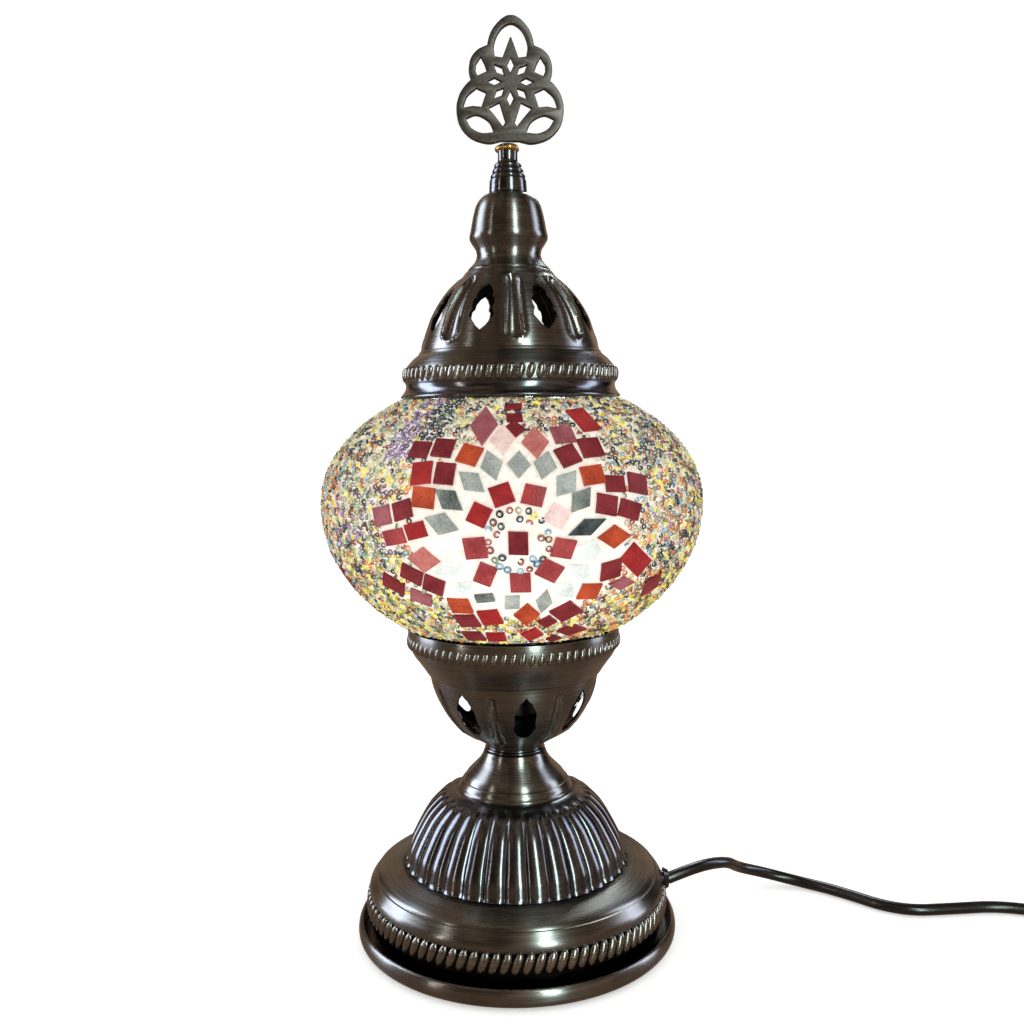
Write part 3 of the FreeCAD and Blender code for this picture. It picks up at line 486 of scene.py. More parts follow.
@dataclass(frozen=True)
class Clouded:
    """A material of two close tones under a fine relief: a moulding, a sheath, felt, plaster or glass.

    Attributes:
        name: The material's name.
        colour: Its lighter tone.
        shade: Its darker tone.
        roughness: Its mean roughness.
        grain: The size of its relief, in millimetres.
        relief: The strength of its relief.
        metallic: 1 for a metal.
        detail: How many octaves its relief has.
        depth: The depth of its relief, in millimetres.
        cloud: The size of its patches of tone, in millimetres.
        cloud_detail: How many octaves the patches have.
        span: Where the patches turn from the darker to the lighter tone.
        drift: What share its roughness varies by.
        shine: Its specular level.
        passing: What share of light passes through it.
        glow: How strongly the bulb lights it up.
    """

    name: str
    colour: str
    shade: str
    roughness: float = 0.35
    grain: float = 0.25
    relief: float = 0.12
    metallic: float = 0.0
    detail: float = 3.0
    depth: float = 0.05
    cloud: float = 12.0
    cloud_detail: float = 2.0
    span: tuple[float, float] = (0.35, 0.65)
    drift: float = 0.15
    shine: float = 0.5
    passing: float = 0.0
    glow: float = 0.0

    def make(self) -> Material:
        """The material."""
        material, tree = blank(self.name)
        place = node(tree, "TexCoord").outputs["Object"]
        grain = node(tree, "TexNoise", {"Vector": place, "Scale": 1 / (self.grain * MM),
                                        "Detail": self.detail}).outputs[0]
        cloud = node(tree, "TexNoise", {"Vector": place, "Scale": 1 / (self.cloud * MM),
                                        "Detail": self.cloud_detail}).outputs[0]
        tones = tuple(zip(self.span, (self.shade, self.colour)))
        colour = node(tree, "ValToRGB", {"Fac": cloud}, tones).outputs[0]
        bump = node(tree, "Bump", {"Height": grain, "Strength": self.relief, "Distance": self.depth * MM})
        rough = node(tree, "MapRange", {
            "Value": cloud, "From Min": 0.3, "From Max": 0.7,
            "To Min": self.roughness * (1 - self.drift), "To Max": self.roughness * (1 + self.drift)})
        shader = node(tree, "BsdfPrincipled", {
            "Base Color": colour, "Metallic": self.metallic, "Roughness": rough.outputs[0],
            "Normal": bump.outputs[0], "Specular IOR Level": self.shine,
            "Transmission Weight": self.passing, "Emission Color": colour,
            "Emission Strength": self.glow})
        node(tree, "OutputMaterial", {"Surface": shader.outputs[0]})
        return material


@dataclass
class Finishes:
    """Every finish that pieces share, made once and looked up by them."""

    brushed: Material = field(init=False)
    polished: Material = field(init=False)
    beaded: Material = field(init=False)
    cast: Material = field(init=False)
    blackened: Material = field(init=False)
    by_slot: dict[Slot, Material] = field(init=False)

    def __post_init__(self) -> None:
        """Makes the finishes."""
        # antique bronze, spun and brushed: warm grey with crisp upright streaks
        self.brushed = AntiqueBronze("antique_bronze_brushed").make()
        # antique bronze, pressed and buffed: darker, cooler and glossier
        self.polished = AntiqueBronze("antique_bronze_polished", light="#6D6D70", dark="#414145",
                                      roughness=0.2, brush=0.06, anisotropy=0.6).make()
        # antique bronze, rolled into beads and rubbed back: lighter, with one glint on each bead
        self.beaded = AntiqueBronze("antique_bronze_beaded", light="#96918A", dark="#57534E",
                                    roughness=0.26, brush=0.06, anisotropy=0.0).make()
        # antique bronze on a zinc casting: dull and even, with soft highlights
        self.cast = AntiqueBronze("antique_bronze_cast", light="#5E5653", dark="#3A3532",
                                  roughness=0.4, brush=0.1, anisotropy=0.0, ring_pitch=1.2).make()
        # dull black plating inside the shells, made near black as painted shade so that holes and recesses
        # look deep
        self.blackened = AntiqueBronze("antique_bronze_blackened", light="#1C1A19", dark="#0C0B0B",
                                       roughness=0.2, brush=0.1, anisotropy=0.0).make()
        glass = {"detail": 1.0, "depth": 0.3, "cloud": 9.0, "cloud_detail": 1.0, "span": (0.2, 0.8),
                 "drift": 0.0}
        self.by_slot = {
            Slot.BRONZE: self.polished,
            # zinc-plated steel, barrel plated: grey, even, slightly cloudy
            Slot.ZINC: Clouded("zinc_plated_steel", "#B9BDC0", "#8E9397", 0.32, 0.6, 0.1, 1.0).make(),
            # turned brass: warm yellow, a little dull where handled
            Slot.BRASS: Clouded("turned_brass", "#C9A25A", "#96743A", 0.3, 0.5, 0.1, 1.0).make(),
            # nickel plate on stamped brass, as on pins and bulb caps: pale and bright
            Slot.NICKEL: Clouded("nickel_plate", "#D2CFC8", "#B0ACA4", 0.22, 0.5, 0.05, 1.0).make(),
            # black phenolic, compression moulded: black with a satin grain
            Slot.PLASTIC: Clouded("black_moulded_plastic", "#17171A", "#101012", 0.36).make(),
            # steatite ceramic, pressed and fired: matt off-white
            Slot.CERAMIC: Clouded("steatite_ceramic", "#E8E3D6", "#D8D0BF", 0.6, 0.8).make(),
            # PVC sheath, extruded: black with a sharp waxy shine
            Slot.PVC: Clouded("black_pvc_sheath", "#141417", "#0D0D10", 0.27, 1.5, 0.15).make(),
            # wool felt, pressed and glued on: dull and fibrous
            Slot.FELT: Clouded("pressed_felt", "#26252A", "#1B1A1E", 0.95, 0.5, 0.9).make(),
            # clear soda glass, mould blown: see-through, with slow waves
            Slot.CLEAR: Clouded("blown_clear_glass", "#FFFFFF", "#F4F6F4", 0.03, 9.0, 0.05,
                                passing=1.0, **glass).make(),
            # satin bulb glass, blown and coated inside: milky and warm, faintly lit
            Slot.BULB: Clouded("satin_bulb_glass", "#FFFFFF", "#F6D9A4", 0.45, 9.0, 0.05,
                               passing=0.2, glow=0.25, **glass).make(),
            # lime grout, wiped between the tiles over the glass: chalky and glowing warm white
            Slot.GROUT: Clouded("lit_white_grout", "#FFFBF0", "#F3E6D4", 0.75, 1.6, 0.4, detail=4.0,
                                depth=0.2, cloud=1.6, cloud_detail=4.0, span=(0.3, 0.55), drift=0.0,
                                shine=0.1, glow=0.2).make(),
        }


def dress(piece: Object, body: str, slot: Slot, material: Material, *nodes: str) -> Object:
    """Gives a new piece its finish and its body, and hides the CAD nodes that it stands for."""
    if not piece.data.materials:
        piece.data.materials.append(material)
    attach(piece, body)
    if nodes:
        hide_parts(*nodes)
    log.info("%s: %d faces on %s", piece.name, len(getattr(piece.data, "polygons", ())), body)
    return piece


# ---------------------------------------------------------------- camera, floor and lights

@dataclass
class Studio:
    """A camera at table height close to the lamp, a white sweep, a window and two soft boxes."""

    lens: float = 36.42
    sensor: float = 36.0
    stand: Vector = field(default_factory=lambda: Vector((0.0005, -0.4248, 0.2141)))
    pitch: float = 5.05
    roll: float = 0.7
    aside: float = -0.0012

    def set_camera(self) -> None:
        """Makes the camera."""
        camera = bpy.data.cameras.new("camera")
        camera.lens = self.lens
        camera.sensor_width = self.sensor
        camera.shift_x = self.aside
        camera.clip_start = 0.01
        camera.clip_end = 20
        holder = bpy.data.objects.new("camera", camera)
        bpy.context.collection.objects.link(holder)
        holder.matrix_world = (Matrix.Translation(self.stand)
                               @ Matrix.Rotation(math.radians(90 - self.pitch), 4, "X")
                               @ Matrix.Rotation(math.radians(-self.roll), 4, "Z"))
        bpy.context.scene.camera = holder

    def lay_floor(self) -> None:
        """Makes the white table top that the lamp stands on."""
        nothing_selected()
        bpy.ops.mesh.primitive_circle_add(vertices=96, radius=3.0, fill_type="NGON", location=(0, 0, 0))
        floor = bpy.context.object
        floor.name = "floor"
        with editing(floor):
            bpy.ops.transform.translate(value=(0, 0, -0.1 * MM))
        # matt white lacquer on board, sprayed: plain and pale, but shine sees a wooden table in it
        paint, tree = blank("white_sweep")
        place = node(tree, "TexCoord").outputs["Object"]
        grain = node(tree, "TexNoise", {"Vector": place, "Scale": 1 / (2.5 * MM)}).outputs[0]
        colour = node(tree, "ValToRGB", {"Fac": grain}, ((0.3, "#F6F6F6"), (0.7, "#FBFBFB"))).outputs[0]
        shine = node(tree, "LightPath").outputs["Is Glossy Ray"]
        white = node(tree, "BsdfPrincipled", {"Base Color": colour, "Roughness": 0.9,
                                              "Emission Color": colour, "Emission Strength": 0.5})
        wood = node(tree, "Emission", {"Color": linear("#967C65"), "Strength": 1.0})
        both = node(tree, "MixShader", {0: shine, 1: white.outputs[0], 2: wood.outputs[0]})
        node(tree, "OutputMaterial", {"Surface": both.outputs[0]})
        floor.data.materials.append(paint)

    def add_light(self, name: str, angle: float, rise: float, distance: float,
                  size: tuple[float, float], power: float, colour: str) -> None:
        """Adds a rectangular light that faces the lamp and shows only in its shine.

        Args:
            name: The light's name.
            angle: Its place round the lamp, in degrees from the front.
            rise: Its height above the horizon, in degrees.
            distance: How far it is from the globe, in metres.
            size: Its width and height, in metres.
            power: Its power, in watts.
            colour: Its colour, as hex.
        """
        lamp = bpy.data.lights.new(name, "AREA")
        lamp.shape = "RECTANGLE"
        lamp.size, lamp.size_y = size
        lamp.energy = power
        lamp.color = linear(colour)[:3]
        holder = bpy.data.objects.new(name, lamp)
        holder.visible_diffuse = False
        bpy.context.collection.objects.link(holder)
        around, up = math.radians(angle), math.radians(rise)
        aim = Vector((0, 0, 0.16))
        back = Vector((math.sin(around) * math.cos(up), -math.cos(around) * math.cos(up), math.sin(up)))
        holder.location = aim + back * distance
        holder.rotation_mode = "QUATERNION"
        holder.rotation_quaternion = back.to_track_quat("Z", "Y")

    def light(self) -> None:
        """Sets the lights and the room."""
        self.add_light("window", 22, 8, 1.3, (0.22, 1.8), 29, "#D2EDE8")
        self.add_light("far_window", -56, 8, 1.5, (0.05, 1.3), 3.6, "#F4EEE6")
        self.add_light("soft_box_left", -104, 14, 1.2, (0.5, 1.3), 21, "#D2E0F4")
        self.add_light("soft_box_right", 98, 14, 1.3, (0.35, 1.3), 11, "#CBD9F1")
        self.add_light("ceiling", 170, 38, 1.6, (0.5, 0.5), 9, "#E6F2F4")
        self.add_room()
        bpy.context.scene.view_settings.view_transform = "Standard"

    def add_room(self) -> None:
        """Makes the room: white to the eye, pale to plain surfaces, dark with brown patches to shine."""
        world = bpy.data.worlds.new("room")
        bpy.context.scene.world = world
        world.use_nodes = True
        tree = world.node_tree
        tree.nodes.clear()
        path = node(tree, "LightPath").outputs
        place = node(tree, "TexCoord").outputs["Generated"]
        tall = node(tree, "VectorMath", {0: place, 1: (1.0, 1.0, 0.45)}, operation="MULTIPLY").outputs[0]
        patches = node(tree, "TexNoise", {"Vector": tall, "Scale": 3.4, "Detail": 2.0}).outputs[0]
        furniture = node(tree, "ValToRGB", {"Fac": patches}, ((0.43, "#0C0B0F"), (0.62, "#BFA083")))
        pale = node(tree, "Background", {"Color": linear("#FFFFFF"), "Strength": 0.8})
        white = node(tree, "Background", {"Color": linear("#FFFFFF"), "Strength": 1.05})
        dark = node(tree, "Background", {"Color": furniture.outputs[0], "Strength": 1.0})
        seen = node(tree, "MixShader", {0: path["Is Camera Ray"], 1: pale.outputs[0], 2: white.outputs[0]})
        whole = node(tree, "MixShader", {0: path["Is Glossy Ray"], 1: seen.outputs[0], 2: dark.outputs[0]})
        node(tree, "OutputWorld", {"Surface": whole.outputs[0]})


# ---------------------------------------------------------------- the lead

@dataclass
class Lead:
    """The mains lead from the base through the switch to a put-away coil and the plug."""

    finishes: Finishes
    radius: float = 2.4
    length: float = 1.77
    coil_centre: tuple[float, float] = (330.0, -30.0)
    points_a_turn: int = 16
    turns: float = 8.5
    change: float = 0.22
    rows: tuple[tuple[float, float], ...] = (
        (31.8, 2.4), (27.0, 2.4), (22.2, 2.4), (22.2, 7.2), (27.0, 7.2), (31.8, 7.2), (27.0, 12.0),
        (31.8, 12.0), (31.8, 12.0))

    def to_coil(self) -> list[tuple[float, float, float]]:
        """The route from the base through the switch, in millimetres."""
        return [(64.3, 0, 19.5), (70.9, 1.5, 21.5), (82, 6.1, 22.9), (92.8, 14.6, 20.1), (99.7, 27, 12.1),
                (113.2, 33.9, 6.3), (128.9, 32.5, 2.4), (143.2, 23.1, 2.4), (164.1, 2.7, 2.4),
                (190, 4.6, 2.4), (207.4, 6.2, 2.4), (226, 0.5, 2.4), (240, -3, 7.5), (298, -3, 7.5),
                (311, -2.2, 3.2)]

    def coil(self) -> Iterator[tuple[float, float, float]]:
        """The coil's points, clockwise from its back."""
        for step in range(round(self.turns * self.points_a_turn) + 1):
            turn = step / self.points_a_turn
            row = min(int(turn), len(self.rows) - 2)
            share = max(0.0, (turn - row - 1 + self.change) / self.change)
            ease = share * share * (3 - 2 * share)
            low, high = self.rows[row], self.rows[row + 1]
            across = low[0] + (high[0] - low[0]) * ease
            angle = math.pi / 2 - math.tau * turn
            yield (self.coil_centre[0] + across * math.cos(angle),
                   self.coil_centre[1] + across * math.sin(angle), low[1] + (high[1] - low[1]) * ease)

    def to_plug(self) -> list[tuple[float, float, float]]:
        """The route from the coil to the plug's nose, in millimetres."""
        return [(315, -62, 10.5), (299, -63, 7)]

    def build(self) -> None:
        route = [Vector(point) * MM for point in (*self.to_coil(), *self.coil(), *self.to_plug())]
        line = bpy.data.curves.new("mains_lead", "CURVE")
        line.dimensions = "3D"
        line.bevel_depth = self.radius * MM
        line.bevel_resolution = 4
        line.resolution_u = 8
        line.use_fill_caps = True
        spline = line.splines.new("NURBS")
        spline.points.add(len(route) - 1)
        for point, place in zip(spline.points, route):
            point.co = (*place, 1.0)
        spline.order_u = 3
        spline.use_endpoint_u = True
        lead = bpy.data.objects.new("mains_lead", line)
        bpy.context.collection.objects.link(lead)
        dress(lead, "lamp_base", Slot.PVC, self.finishes.by_slot[Slot.PVC], "cord_lamp_run",
              "cord_switch_run", "cord_plug_run", "cord_coil")
        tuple(route[0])


@dataclass
class LeadFittings:
    """The in-line switch, the plug and the tie round the coil."""

    finishes: Finishes
    seam: float = 0.25

    def build(self) -> None:
        """Makes the mouldings."""
        black = self.finishes.by_slot[Slot.PLASTIC]
        low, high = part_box("switch_lower_case")
        lower = rounded_block("switch_case_lower", low, high - Vector((0, 0, self.seam * MM)), 8 * MM, 0)
        self.soften(lower, low.z, 2.2 * MM)
        dress(smoothed(lower), "lamp_base", Slot.PLASTIC, black, "switch_lower_case")
        low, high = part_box("switch_upper_case")
        upper = rounded_block("switch_case_upper", low, high, 8 * MM, 0)
        self.soften(upper, high.z, 2.6 * MM)
        rocker_low, rocker_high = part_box("switch_rocker")
        gap = Vector((0.4, 0.4, 0)) * MM
        window = rounded_block("window", Vector((*(rocker_low - gap).xy, low.z + 1 * MM)),
                               Vector((*(rocker_high + gap).xy, high.z + 1 * MM)), 0.8 * MM, 0)
        modified(upper, "BOOLEAN", object=window, operation="DIFFERENCE", solver="EXACT")
        discard(window)
        dress(smoothed(upper), "lamp_base", Slot.PLASTIC, black, "switch_upper_case")
        low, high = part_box("plug_body")
        shoulder = high.x - 9 * MM
        body = rounded_block("plug_moulding", low, Vector((shoulder, high.y, high.z)), 5 * MM, 2.2 * MM)
        self.draw_in(body, low, shoulder, high)
        dress(smoothed(body), "lamp_base", Slot.PLASTIC, black, "plug_body")
        low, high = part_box("coil_tie")
        self.strap(low, high)

    def soften(self, half: Object, level: float, radius: float) -> None:
        """Rounds the rim of one half of the switch case at its outer level."""
        with editing(half):
            select_edges(half, lambda a, b: abs(a.z - level) < MERGE and abs(b.z - level) < MERGE)
            bpy.ops.mesh.bevel(offset=radius, segments=5, affect="EDGES")

    def draw_in(self, body: Object, low: Vector, shoulder: float, high: Vector) -> None:
        """Narrows the plug's grip and adds its nose, where the lead goes in."""
        middle = (low.y + high.y) / 2
        for vertex in body.data.vertices:
            if vertex.co.x > shoulder - 6 * MM:
                vertex.co.y = middle + (vertex.co.y - middle) * 0.55
        level = (low.z + high.z) / 2
        nose = turned("nose", flowing(((0, -4), (5.2, -3.9), (5.1, 0), (4.4, 4), (3.6, 8.9), (2.6, 9)), 1.5),
                      0, 32)
        nose.data.transform(Matrix.Translation((shoulder, middle, level)) @ Matrix.Rotation(
            math.pi / 2, 4, "Y"))
        only(body)
        nose.select_set(True)
        bpy.ops.object.join()

    def strap(self, low: Vector, high: Vector) -> None:
        """Makes the paper-covered wire tie round the coil."""
        loop = [Vector((x, 0, z)) for x, z in (
            (low.x, 0.3 * MM), (high.x, 0.3 * MM), (high.x, high.z), (low.x, high.z))]
        tie = drawn("coil_tie_strap", [place + Vector((0, low.y, 0)) for place in [*loop, loop[0]]])
        bpy.ops.mesh.select_all(action="SELECT")
        bpy.ops.mesh.remove_doubles(threshold=MERGE)
        bpy.ops.mesh.bevel(offset=2.5 * MM, segments=5, affect="VERTICES")
        bpy.ops.mesh.select_all(action="SELECT")
        bpy.ops.mesh.extrude_region_move(TRANSFORM_OT_translate={"value": (0, high.y - low.y, 0)})
        bpy.ops.mesh.select_all(action="SELECT")
        bpy.ops.mesh.normals_make_consistent(inside=False)
        bpy.ops.object.mode_set(mode="OBJECT")
        face_outwards(tie)
        black = self.finishes.by_slot[Slot.PLASTIC]
        walled(tie, 0.5, black, black)
        dress(smoothed(tie), "lamp_base", Slot.PLASTIC, black, "coil_tie")


# ---------------------------------------------------------------- pressed ornament shared by the shells

@dataclass(frozen=True)
class BeadRow:
    """A milled row of slanting beads round a rim.

    Attributes:
        count: How many beads go round.
        radius: The radius at which their middles sit, in millimetres.
        low: Their lower ends' level, in metres.
        height: Their length, in millimetres.
        width: Their width, in millimetres.
        proud: Half of their thickness, in millimetres.
        slant: How far their tops lean to the right, in degrees.
        flare: How far their tops lean outwards, in degrees.
    """

    count: int
    radius: float
    low: float
    height: float
    width: float
    proud: float
    slant: float
    flare: float = 0.0

    def build(self, name: str) -> Object:
        """Models one bead and copies it round the rim."""
        nothing_selected()
        bpy.ops.mesh.primitive_uv_sphere_add(segments=10, ring_count=8, radius=1, location=(0, 0, 0))
        bead = bpy.context.object
        with editing(bead):
            bpy.ops.transform.resize(value=(self.width / 2 * MM, self.proud * MM, self.height / 2 * MM))
        half = self.height / 2 * MM
        for vertex in bead.data.vertices:
            share = vertex.co.z / half
            vertex.co.z = math.copysign(abs(share) ** 1.5, share) * half * 0.4 + vertex.co.z * 0.6
            plump = max(0.0, 1 - abs(share) ** 3.4) ** 0.5 / max(0.05, math.sqrt(max(0.0, 1 - share ** 2)))
            vertex.co.x *= plump
            vertex.co.y *= plump
        seat = (Matrix.Translation((0, -self.radius * MM, self.low + self.height / 2 * MM))
                @ Matrix.Rotation(math.radians(-self.flare), 4, "X")
                @ Matrix.Rotation(math.radians(self.slant), 4, "Y"))
        row = copied(name, bead, (Matrix.Rotation(math.tau * step / self.count, 4, "Z") @ seat
                                  for step in range(self.count)))
        discard(bead)
        return smoothed(row, 60)


@dataclass(frozen=True)
class Troughs:
    """U-ended grooves pressed into a shell, repeated round it.

    Attributes:
        count: How many go round.
        turn: The first one's angle from the front, in degrees.
        low: The level of the lower end's centre, in millimetres.
        high: The level of the upper end's centre, in millimetres.
        half_width: Half of a groove's width at its lower end, in millimetres.
        taper: What share of that width is lost at the upper end.
        depth: How deep the groove is, in millimetres.
        lip: How far its edge stands proud, in millimetres.
    """

    count: int
    turn: float
    low: float
    high: float
    half_width: float
    taper: float
    depth: float
    lip: float

    def push(self, angle: float, radius: float, height: float) -> float:
        """How far the press moves the metal there, in millimetres, outwards positive."""
        pitch = math.tau / self.count
        off = (angle - math.radians(self.turn) + pitch / 2) % pitch - pitch / 2
        up = min(max((height - self.low) / (self.high - self.low), 0), 1)
        half = self.half_width * (1 - self.taper * up)
        beyond = max(self.low - height, 0, height - self.high)
        away = math.hypot(off * radius, beyond) / half
        bank = self.lip * math.exp(-((away - 1) * half / 0.8) ** 2)
        return bank - self.depth * max(0.0, 1 - away ** 2) ** 0.8


@dataclass(frozen=True)
class Piercings:
    """Fretted holes stamped through a shell, repeated round it.

    Attributes:
        half: The right half of a hole, from its foot to its tip, as shares of its width and height.
        width: A hole's width, in millimetres.
        height: A hole's height, in millimetres.
        level: The foot's level, in metres.
        turn: The first hole's angle from the front, in degrees.
        count: How many go round.
        reach: From how near the axis to how far the punch passes, in millimetres.
    """

    half: Outline
    width: float
    height: float
    level: float
    turn: float
    count: int
    reach: tuple[float, float]

    def punch(self, shell: Object) -> Object:
        """Cuts the holes through a walled shell."""
        outline = mirrored([(x * self.width, z * self.height) for x, z in self.half])
        near, far = self.reach
        tool = drawn("punch", [Vector((x * MM, -near * MM, self.level + z * MM)) for x, z in outline])
        bpy.ops.mesh.select_all(action="SELECT")
        bpy.ops.mesh.edge_face_add()
        bpy.ops.mesh.extrude_region_move(TRANSFORM_OT_translate={"value": (0, (near - far) * MM, 0)})
        bpy.ops.mesh.select_all(action="SELECT")
        bpy.ops.mesh.normals_make_consistent(inside=False)
        bpy.ops.object.mode_set(mode="OBJECT")
        every = copied("punches", tool, (
            Matrix.Rotation(math.radians(self.turn) + math.tau * step / self.count, 4, "Z")
            for step in range(self.count)))
        modified(shell, "BOOLEAN", object=every, operation="DIFFERENCE", solver="EXACT")
        discard(tool, every)
        return shell


@dataclass
class SheetWork:
    """What the spun and pressed shells share.

    Attributes:
        finishes: The lamp's finishes.
        body: The body that the pieces ride on.
        wall: The sheet's thickness, in millimetres.
    """

    finishes: Finishes
    body: str = "lamp_base"
    wall: float = 0.8

    def spin(self, name: str, stands_for: str, steps: int, *runs: Outline) -> Object:
        """Spins outline runs into a shell on the foot of the CAD node that it stands for."""
        return turned(name, joined_runs(*runs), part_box(stands_for)[0].z, steps)

    def sheet(self, shell: Object, finish: Material) -> Object:
        """Gives a shell its sheet thickness, with dull black inner faces that also carry painted shade."""
        return walled(shell, self.wall, finish, self.finishes.blackened)

    def show(self, piece: Object, finish: Material, stands_for: str, crease: float = 35) -> None:
        """Shades a bronze piece smooth and dresses it in place of its CAD node."""
        dress(smoothed(piece, crease), self.body, Slot.BRONZE, finish, stands_for)


# ---------------------------------------------------------------- the base

@dataclass
class Base(SheetWork):
    """The weighted foot: a rolled tray, a stepped pan with a bead row, a gadrooned dome and a collar."""

    gadroons: int = 32
    gadroon_depth: float = 1.9
    arch_radius: float = 27.0
    recess: float = 12.6

    def build(self) -> None:
        """Makes the base's pieces."""
        self.build_tray()
        self.build_pan()
        self.build_beads()
        self.build_dome()
        self.build_collar()

    def build_tray(self) -> None:
        """The lower disc with its rolled lip."""
        lip = flowing(((62.6, 0), (64.6, -0.7), (66.1, 0.4), (66.6, 2.2), (66.4, 4.4), (65.7, 6),
                       (64.9, 6.4), (64.2, 5.7)), 0.8)
        inner = flowing(((64.2, 5.7), (64.2, 3.4), (63.2, 1.2), (61.5, 0.8)), 0.8)
        tray = self.spin("base_tray_rolled", "base_tray", 144, [(0, 0), (62.6, 0)], lip, inner,
                         [(61.5, 0.8), (0, 0.8)])
        self.show(tray, self.finishes.brushed, "base_tray")

    def build_pan(self) -> None:
        """The upper disc: a recessed wall painted near black as shade under the shoulder, a shoulder, a
        groove and a gently coned deck.
        """
        foot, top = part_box("base_pan")
        rise = (top.z - foot.z) / MM
        wall = [(61.0, 0), (61.0, 8), (61.0, 16.9)]
        shoulder = flowing(((61.0, 16.9), (61.5, 17.8), (61.7, 19.2), (61.3, 20.6), (60.3, 22)), 0.8)
        slope = flowing(((60.3, 22), (59.4, 23.2), (58.9, 23.9)), 0.8)
        groove = flowing(((58.9, 23.9), (58.2, 24.0), (57.9, 24.5)), 0.5)
        deck = flowing(((57.9, 24.5), (56.8, 25.3), (52, 26.9), (47.5, rise - 0.15), (44, rise),
                        (5.2, rise)), 3)
        pan = self.spin("base_pan_spun", "base_pan", 144, wall, shoulder, slope, groove, deck)
        self.sheet(pan, self.finishes.brushed)
        # the wall in the recess under the shoulder is painted near black: painted shade behind the bead row,
        # over the dull plating
        recess = foot.z + self.recess * MM
        painted(pan, self.finishes.blackened, lambda place: place.z < recess)
        self.show(pan, self.finishes.brushed, "base_pan")

    def build_beads(self) -> None:
        """The bead row under the shoulder."""
        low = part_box("base_bead_band")[0].z
        row = BeadRow(92, 61.4, low - 1.0 * MM, 9.2, 3.8, 1.6, 20, 3).build("base_bead_row")
        dress(row, self.body, Slot.BRONZE, self.finishes.beaded, "base_bead_band")

    def build_dome(self) -> None:
        """The dome of convex gadroons that end in arches under a plain shoulder."""
        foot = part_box("gadroon_dome")[0].z
        side = flowing(((46.3, 0.1), (45.6, 3.5), (44.5, 7.6), (41.5, 13.7), (37, 21.2), (32, 26.4),
                        (28, 28.7), (23.6, 30.0), (14, 30.1)), 0.6)
        dome = self.spin("gadroon_dome_pressed", "gadroon_dome", self.gadroons * 16, side)

        def gadroon(angle: float, radius: float, height: float) -> float:
            """The press tool's move: round lobes that fade out in arches, over a small foot bead."""
            half = math.pi / self.gadroons
            off = ((angle + half) % (2 * half) - half) / half
            arch = math.sqrt(max(0.0, 1 - (0.97 * off) ** 2))
            share = min(max((radius - self.arch_radius - 3.6 * (1 - arch)) / 4.5, 0), 1)
            fade = share * share * (3 - 2 * share)
            depth = self.gadroon_depth * min(max((radius - 23.5) / 18, 0), 1.05)
            lip = 0.5 * math.exp(-((height - foot / MM) / 0.7) ** 2)
            return depth * (arch * fade - 1) + lip

        pushed(dome, gadroon)
        self.sheet(dome, self.finishes.polished)
        self.show(dome, self.finishes.polished, "gadroon_dome", 60)

    def build_collar(self) -> None:
        """The flared collar on the dome and the spacer above it."""
        rim = flowing(((23.3, 0), (23.9, 0.5), (23.9, 1.3), (23.2, 2.0)), 0.4)
        step = flowing(((23.2, 2.0), (22.7, 3.2), (22.0, 4.3)), 0.8)
        line = [(22.0, 4.3), (21.4, 4.5)]
        cone = flowing(((21.4, 4.5), (20.2, 6.7), (17.6, 9.4), (15.2, 11.9), (13.6, 14.4), (13.1, 15.8)), 0.9)
        top = flowing(((13.1, 15.8), (12.7, 16.4), (11.8, 16.6), (5.2, 16.6)), 2)
        collar = self.spin("collar_spun", "collar_cone", 96, rim, step, line, cone, top)
        self.show(self.sheet(collar, self.finishes.brushed), self.finishes.brushed, "collar_cone")
        roll = flowing(((11.6, 0), (12.5, 0.5), (12.5, 1.1), (11.7, 1.6)), 0.4)
        cove = flowing(((11.7, 1.6), (11.6, 2), (12.2, 2.6), (12.4, 3.4)), 0.4)
        spacer = self.spin("neck_spacer_turned", "neck_spacer", 96, [(5.2, 0), (11.6, 0)], roll, cove,
                           [(12.4, 3.4), (5.2, 3.4), (5.2, 0)])
        self.show(spacer, self.finishes.polished, "neck_spacer")


@dataclass
class Bowl(SheetWork):
    """The pierced bowl that carries the globe, with its bead row."""

    half_hole: Outline = ((0.0, 0.0), (0.16, 0.012), (0.3, 0.06), (0.38, 0.125), (0.47, 0.19), (0.5, 0.28),
                          (0.46, 0.37), (0.47, 0.46), (0.5, 0.56), (0.46, 0.66), (0.38, 0.74), (0.31, 0.8),
                          (0.27, 0.855), (0.12, 0.92), (0.0, 1.0))

    def build(self) -> None:
        """Makes the bowl and its beads."""
        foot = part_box("globe_bowl")[0].z
        floor = [(5.2, 0), (12.9, 0)]
        belly = flowing(((12.9, 0), (16.6, 2.4), (21.6, 5.4), (24.6, 7.9), (28.5, 12.9), (32, 19.4),
                         (33.8, 24.4), (34.6, 27.9), (35.0, 29.9)), 0.8)
        step = flowing(((35.0, 29.9), (35.9, 30.4), (37.2, 32.4), (39.6, 35.8), (41.2, 37.9)), 0.8)
        flare = flowing(((41.2, 37.9), (42.1, 39.6), (42.9, 41.6), (43.5, 44.4), (43.6, 47.2),
                         (43.4, 49.1)), 0.8)
        bowl = self.spin("globe_bowl_pierced", "globe_bowl", 320, floor, belly, step, flare)
        flutes = Troughs(8, 30.5, foot / MM + 6, foot / MM + 25.5, 2.3, 0.4, 1.0, 0.25)
        pushed(bowl, flutes.push)
        self.sheet(bowl, self.finishes.brushed)
        Piercings(self.half_hole, 8.9, 18.7, foot + 8.3 * MM, 8, 8, (14, 50)).punch(bowl)
        self.show(bowl, self.finishes.brushed, "globe_bowl")
        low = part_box("bowl_bead_band")[0].z
        row = BeadRow(76, 42.6, low + 0.6 * MM, 6.3, 2.9, 1.5, 15, 9).build("bowl_bead_row")
        dress(row, self.body, Slot.BRONZE, self.finishes.beaded, "bowl_bead_band")


# ---------------------------------------------------------------- the cap and the finial

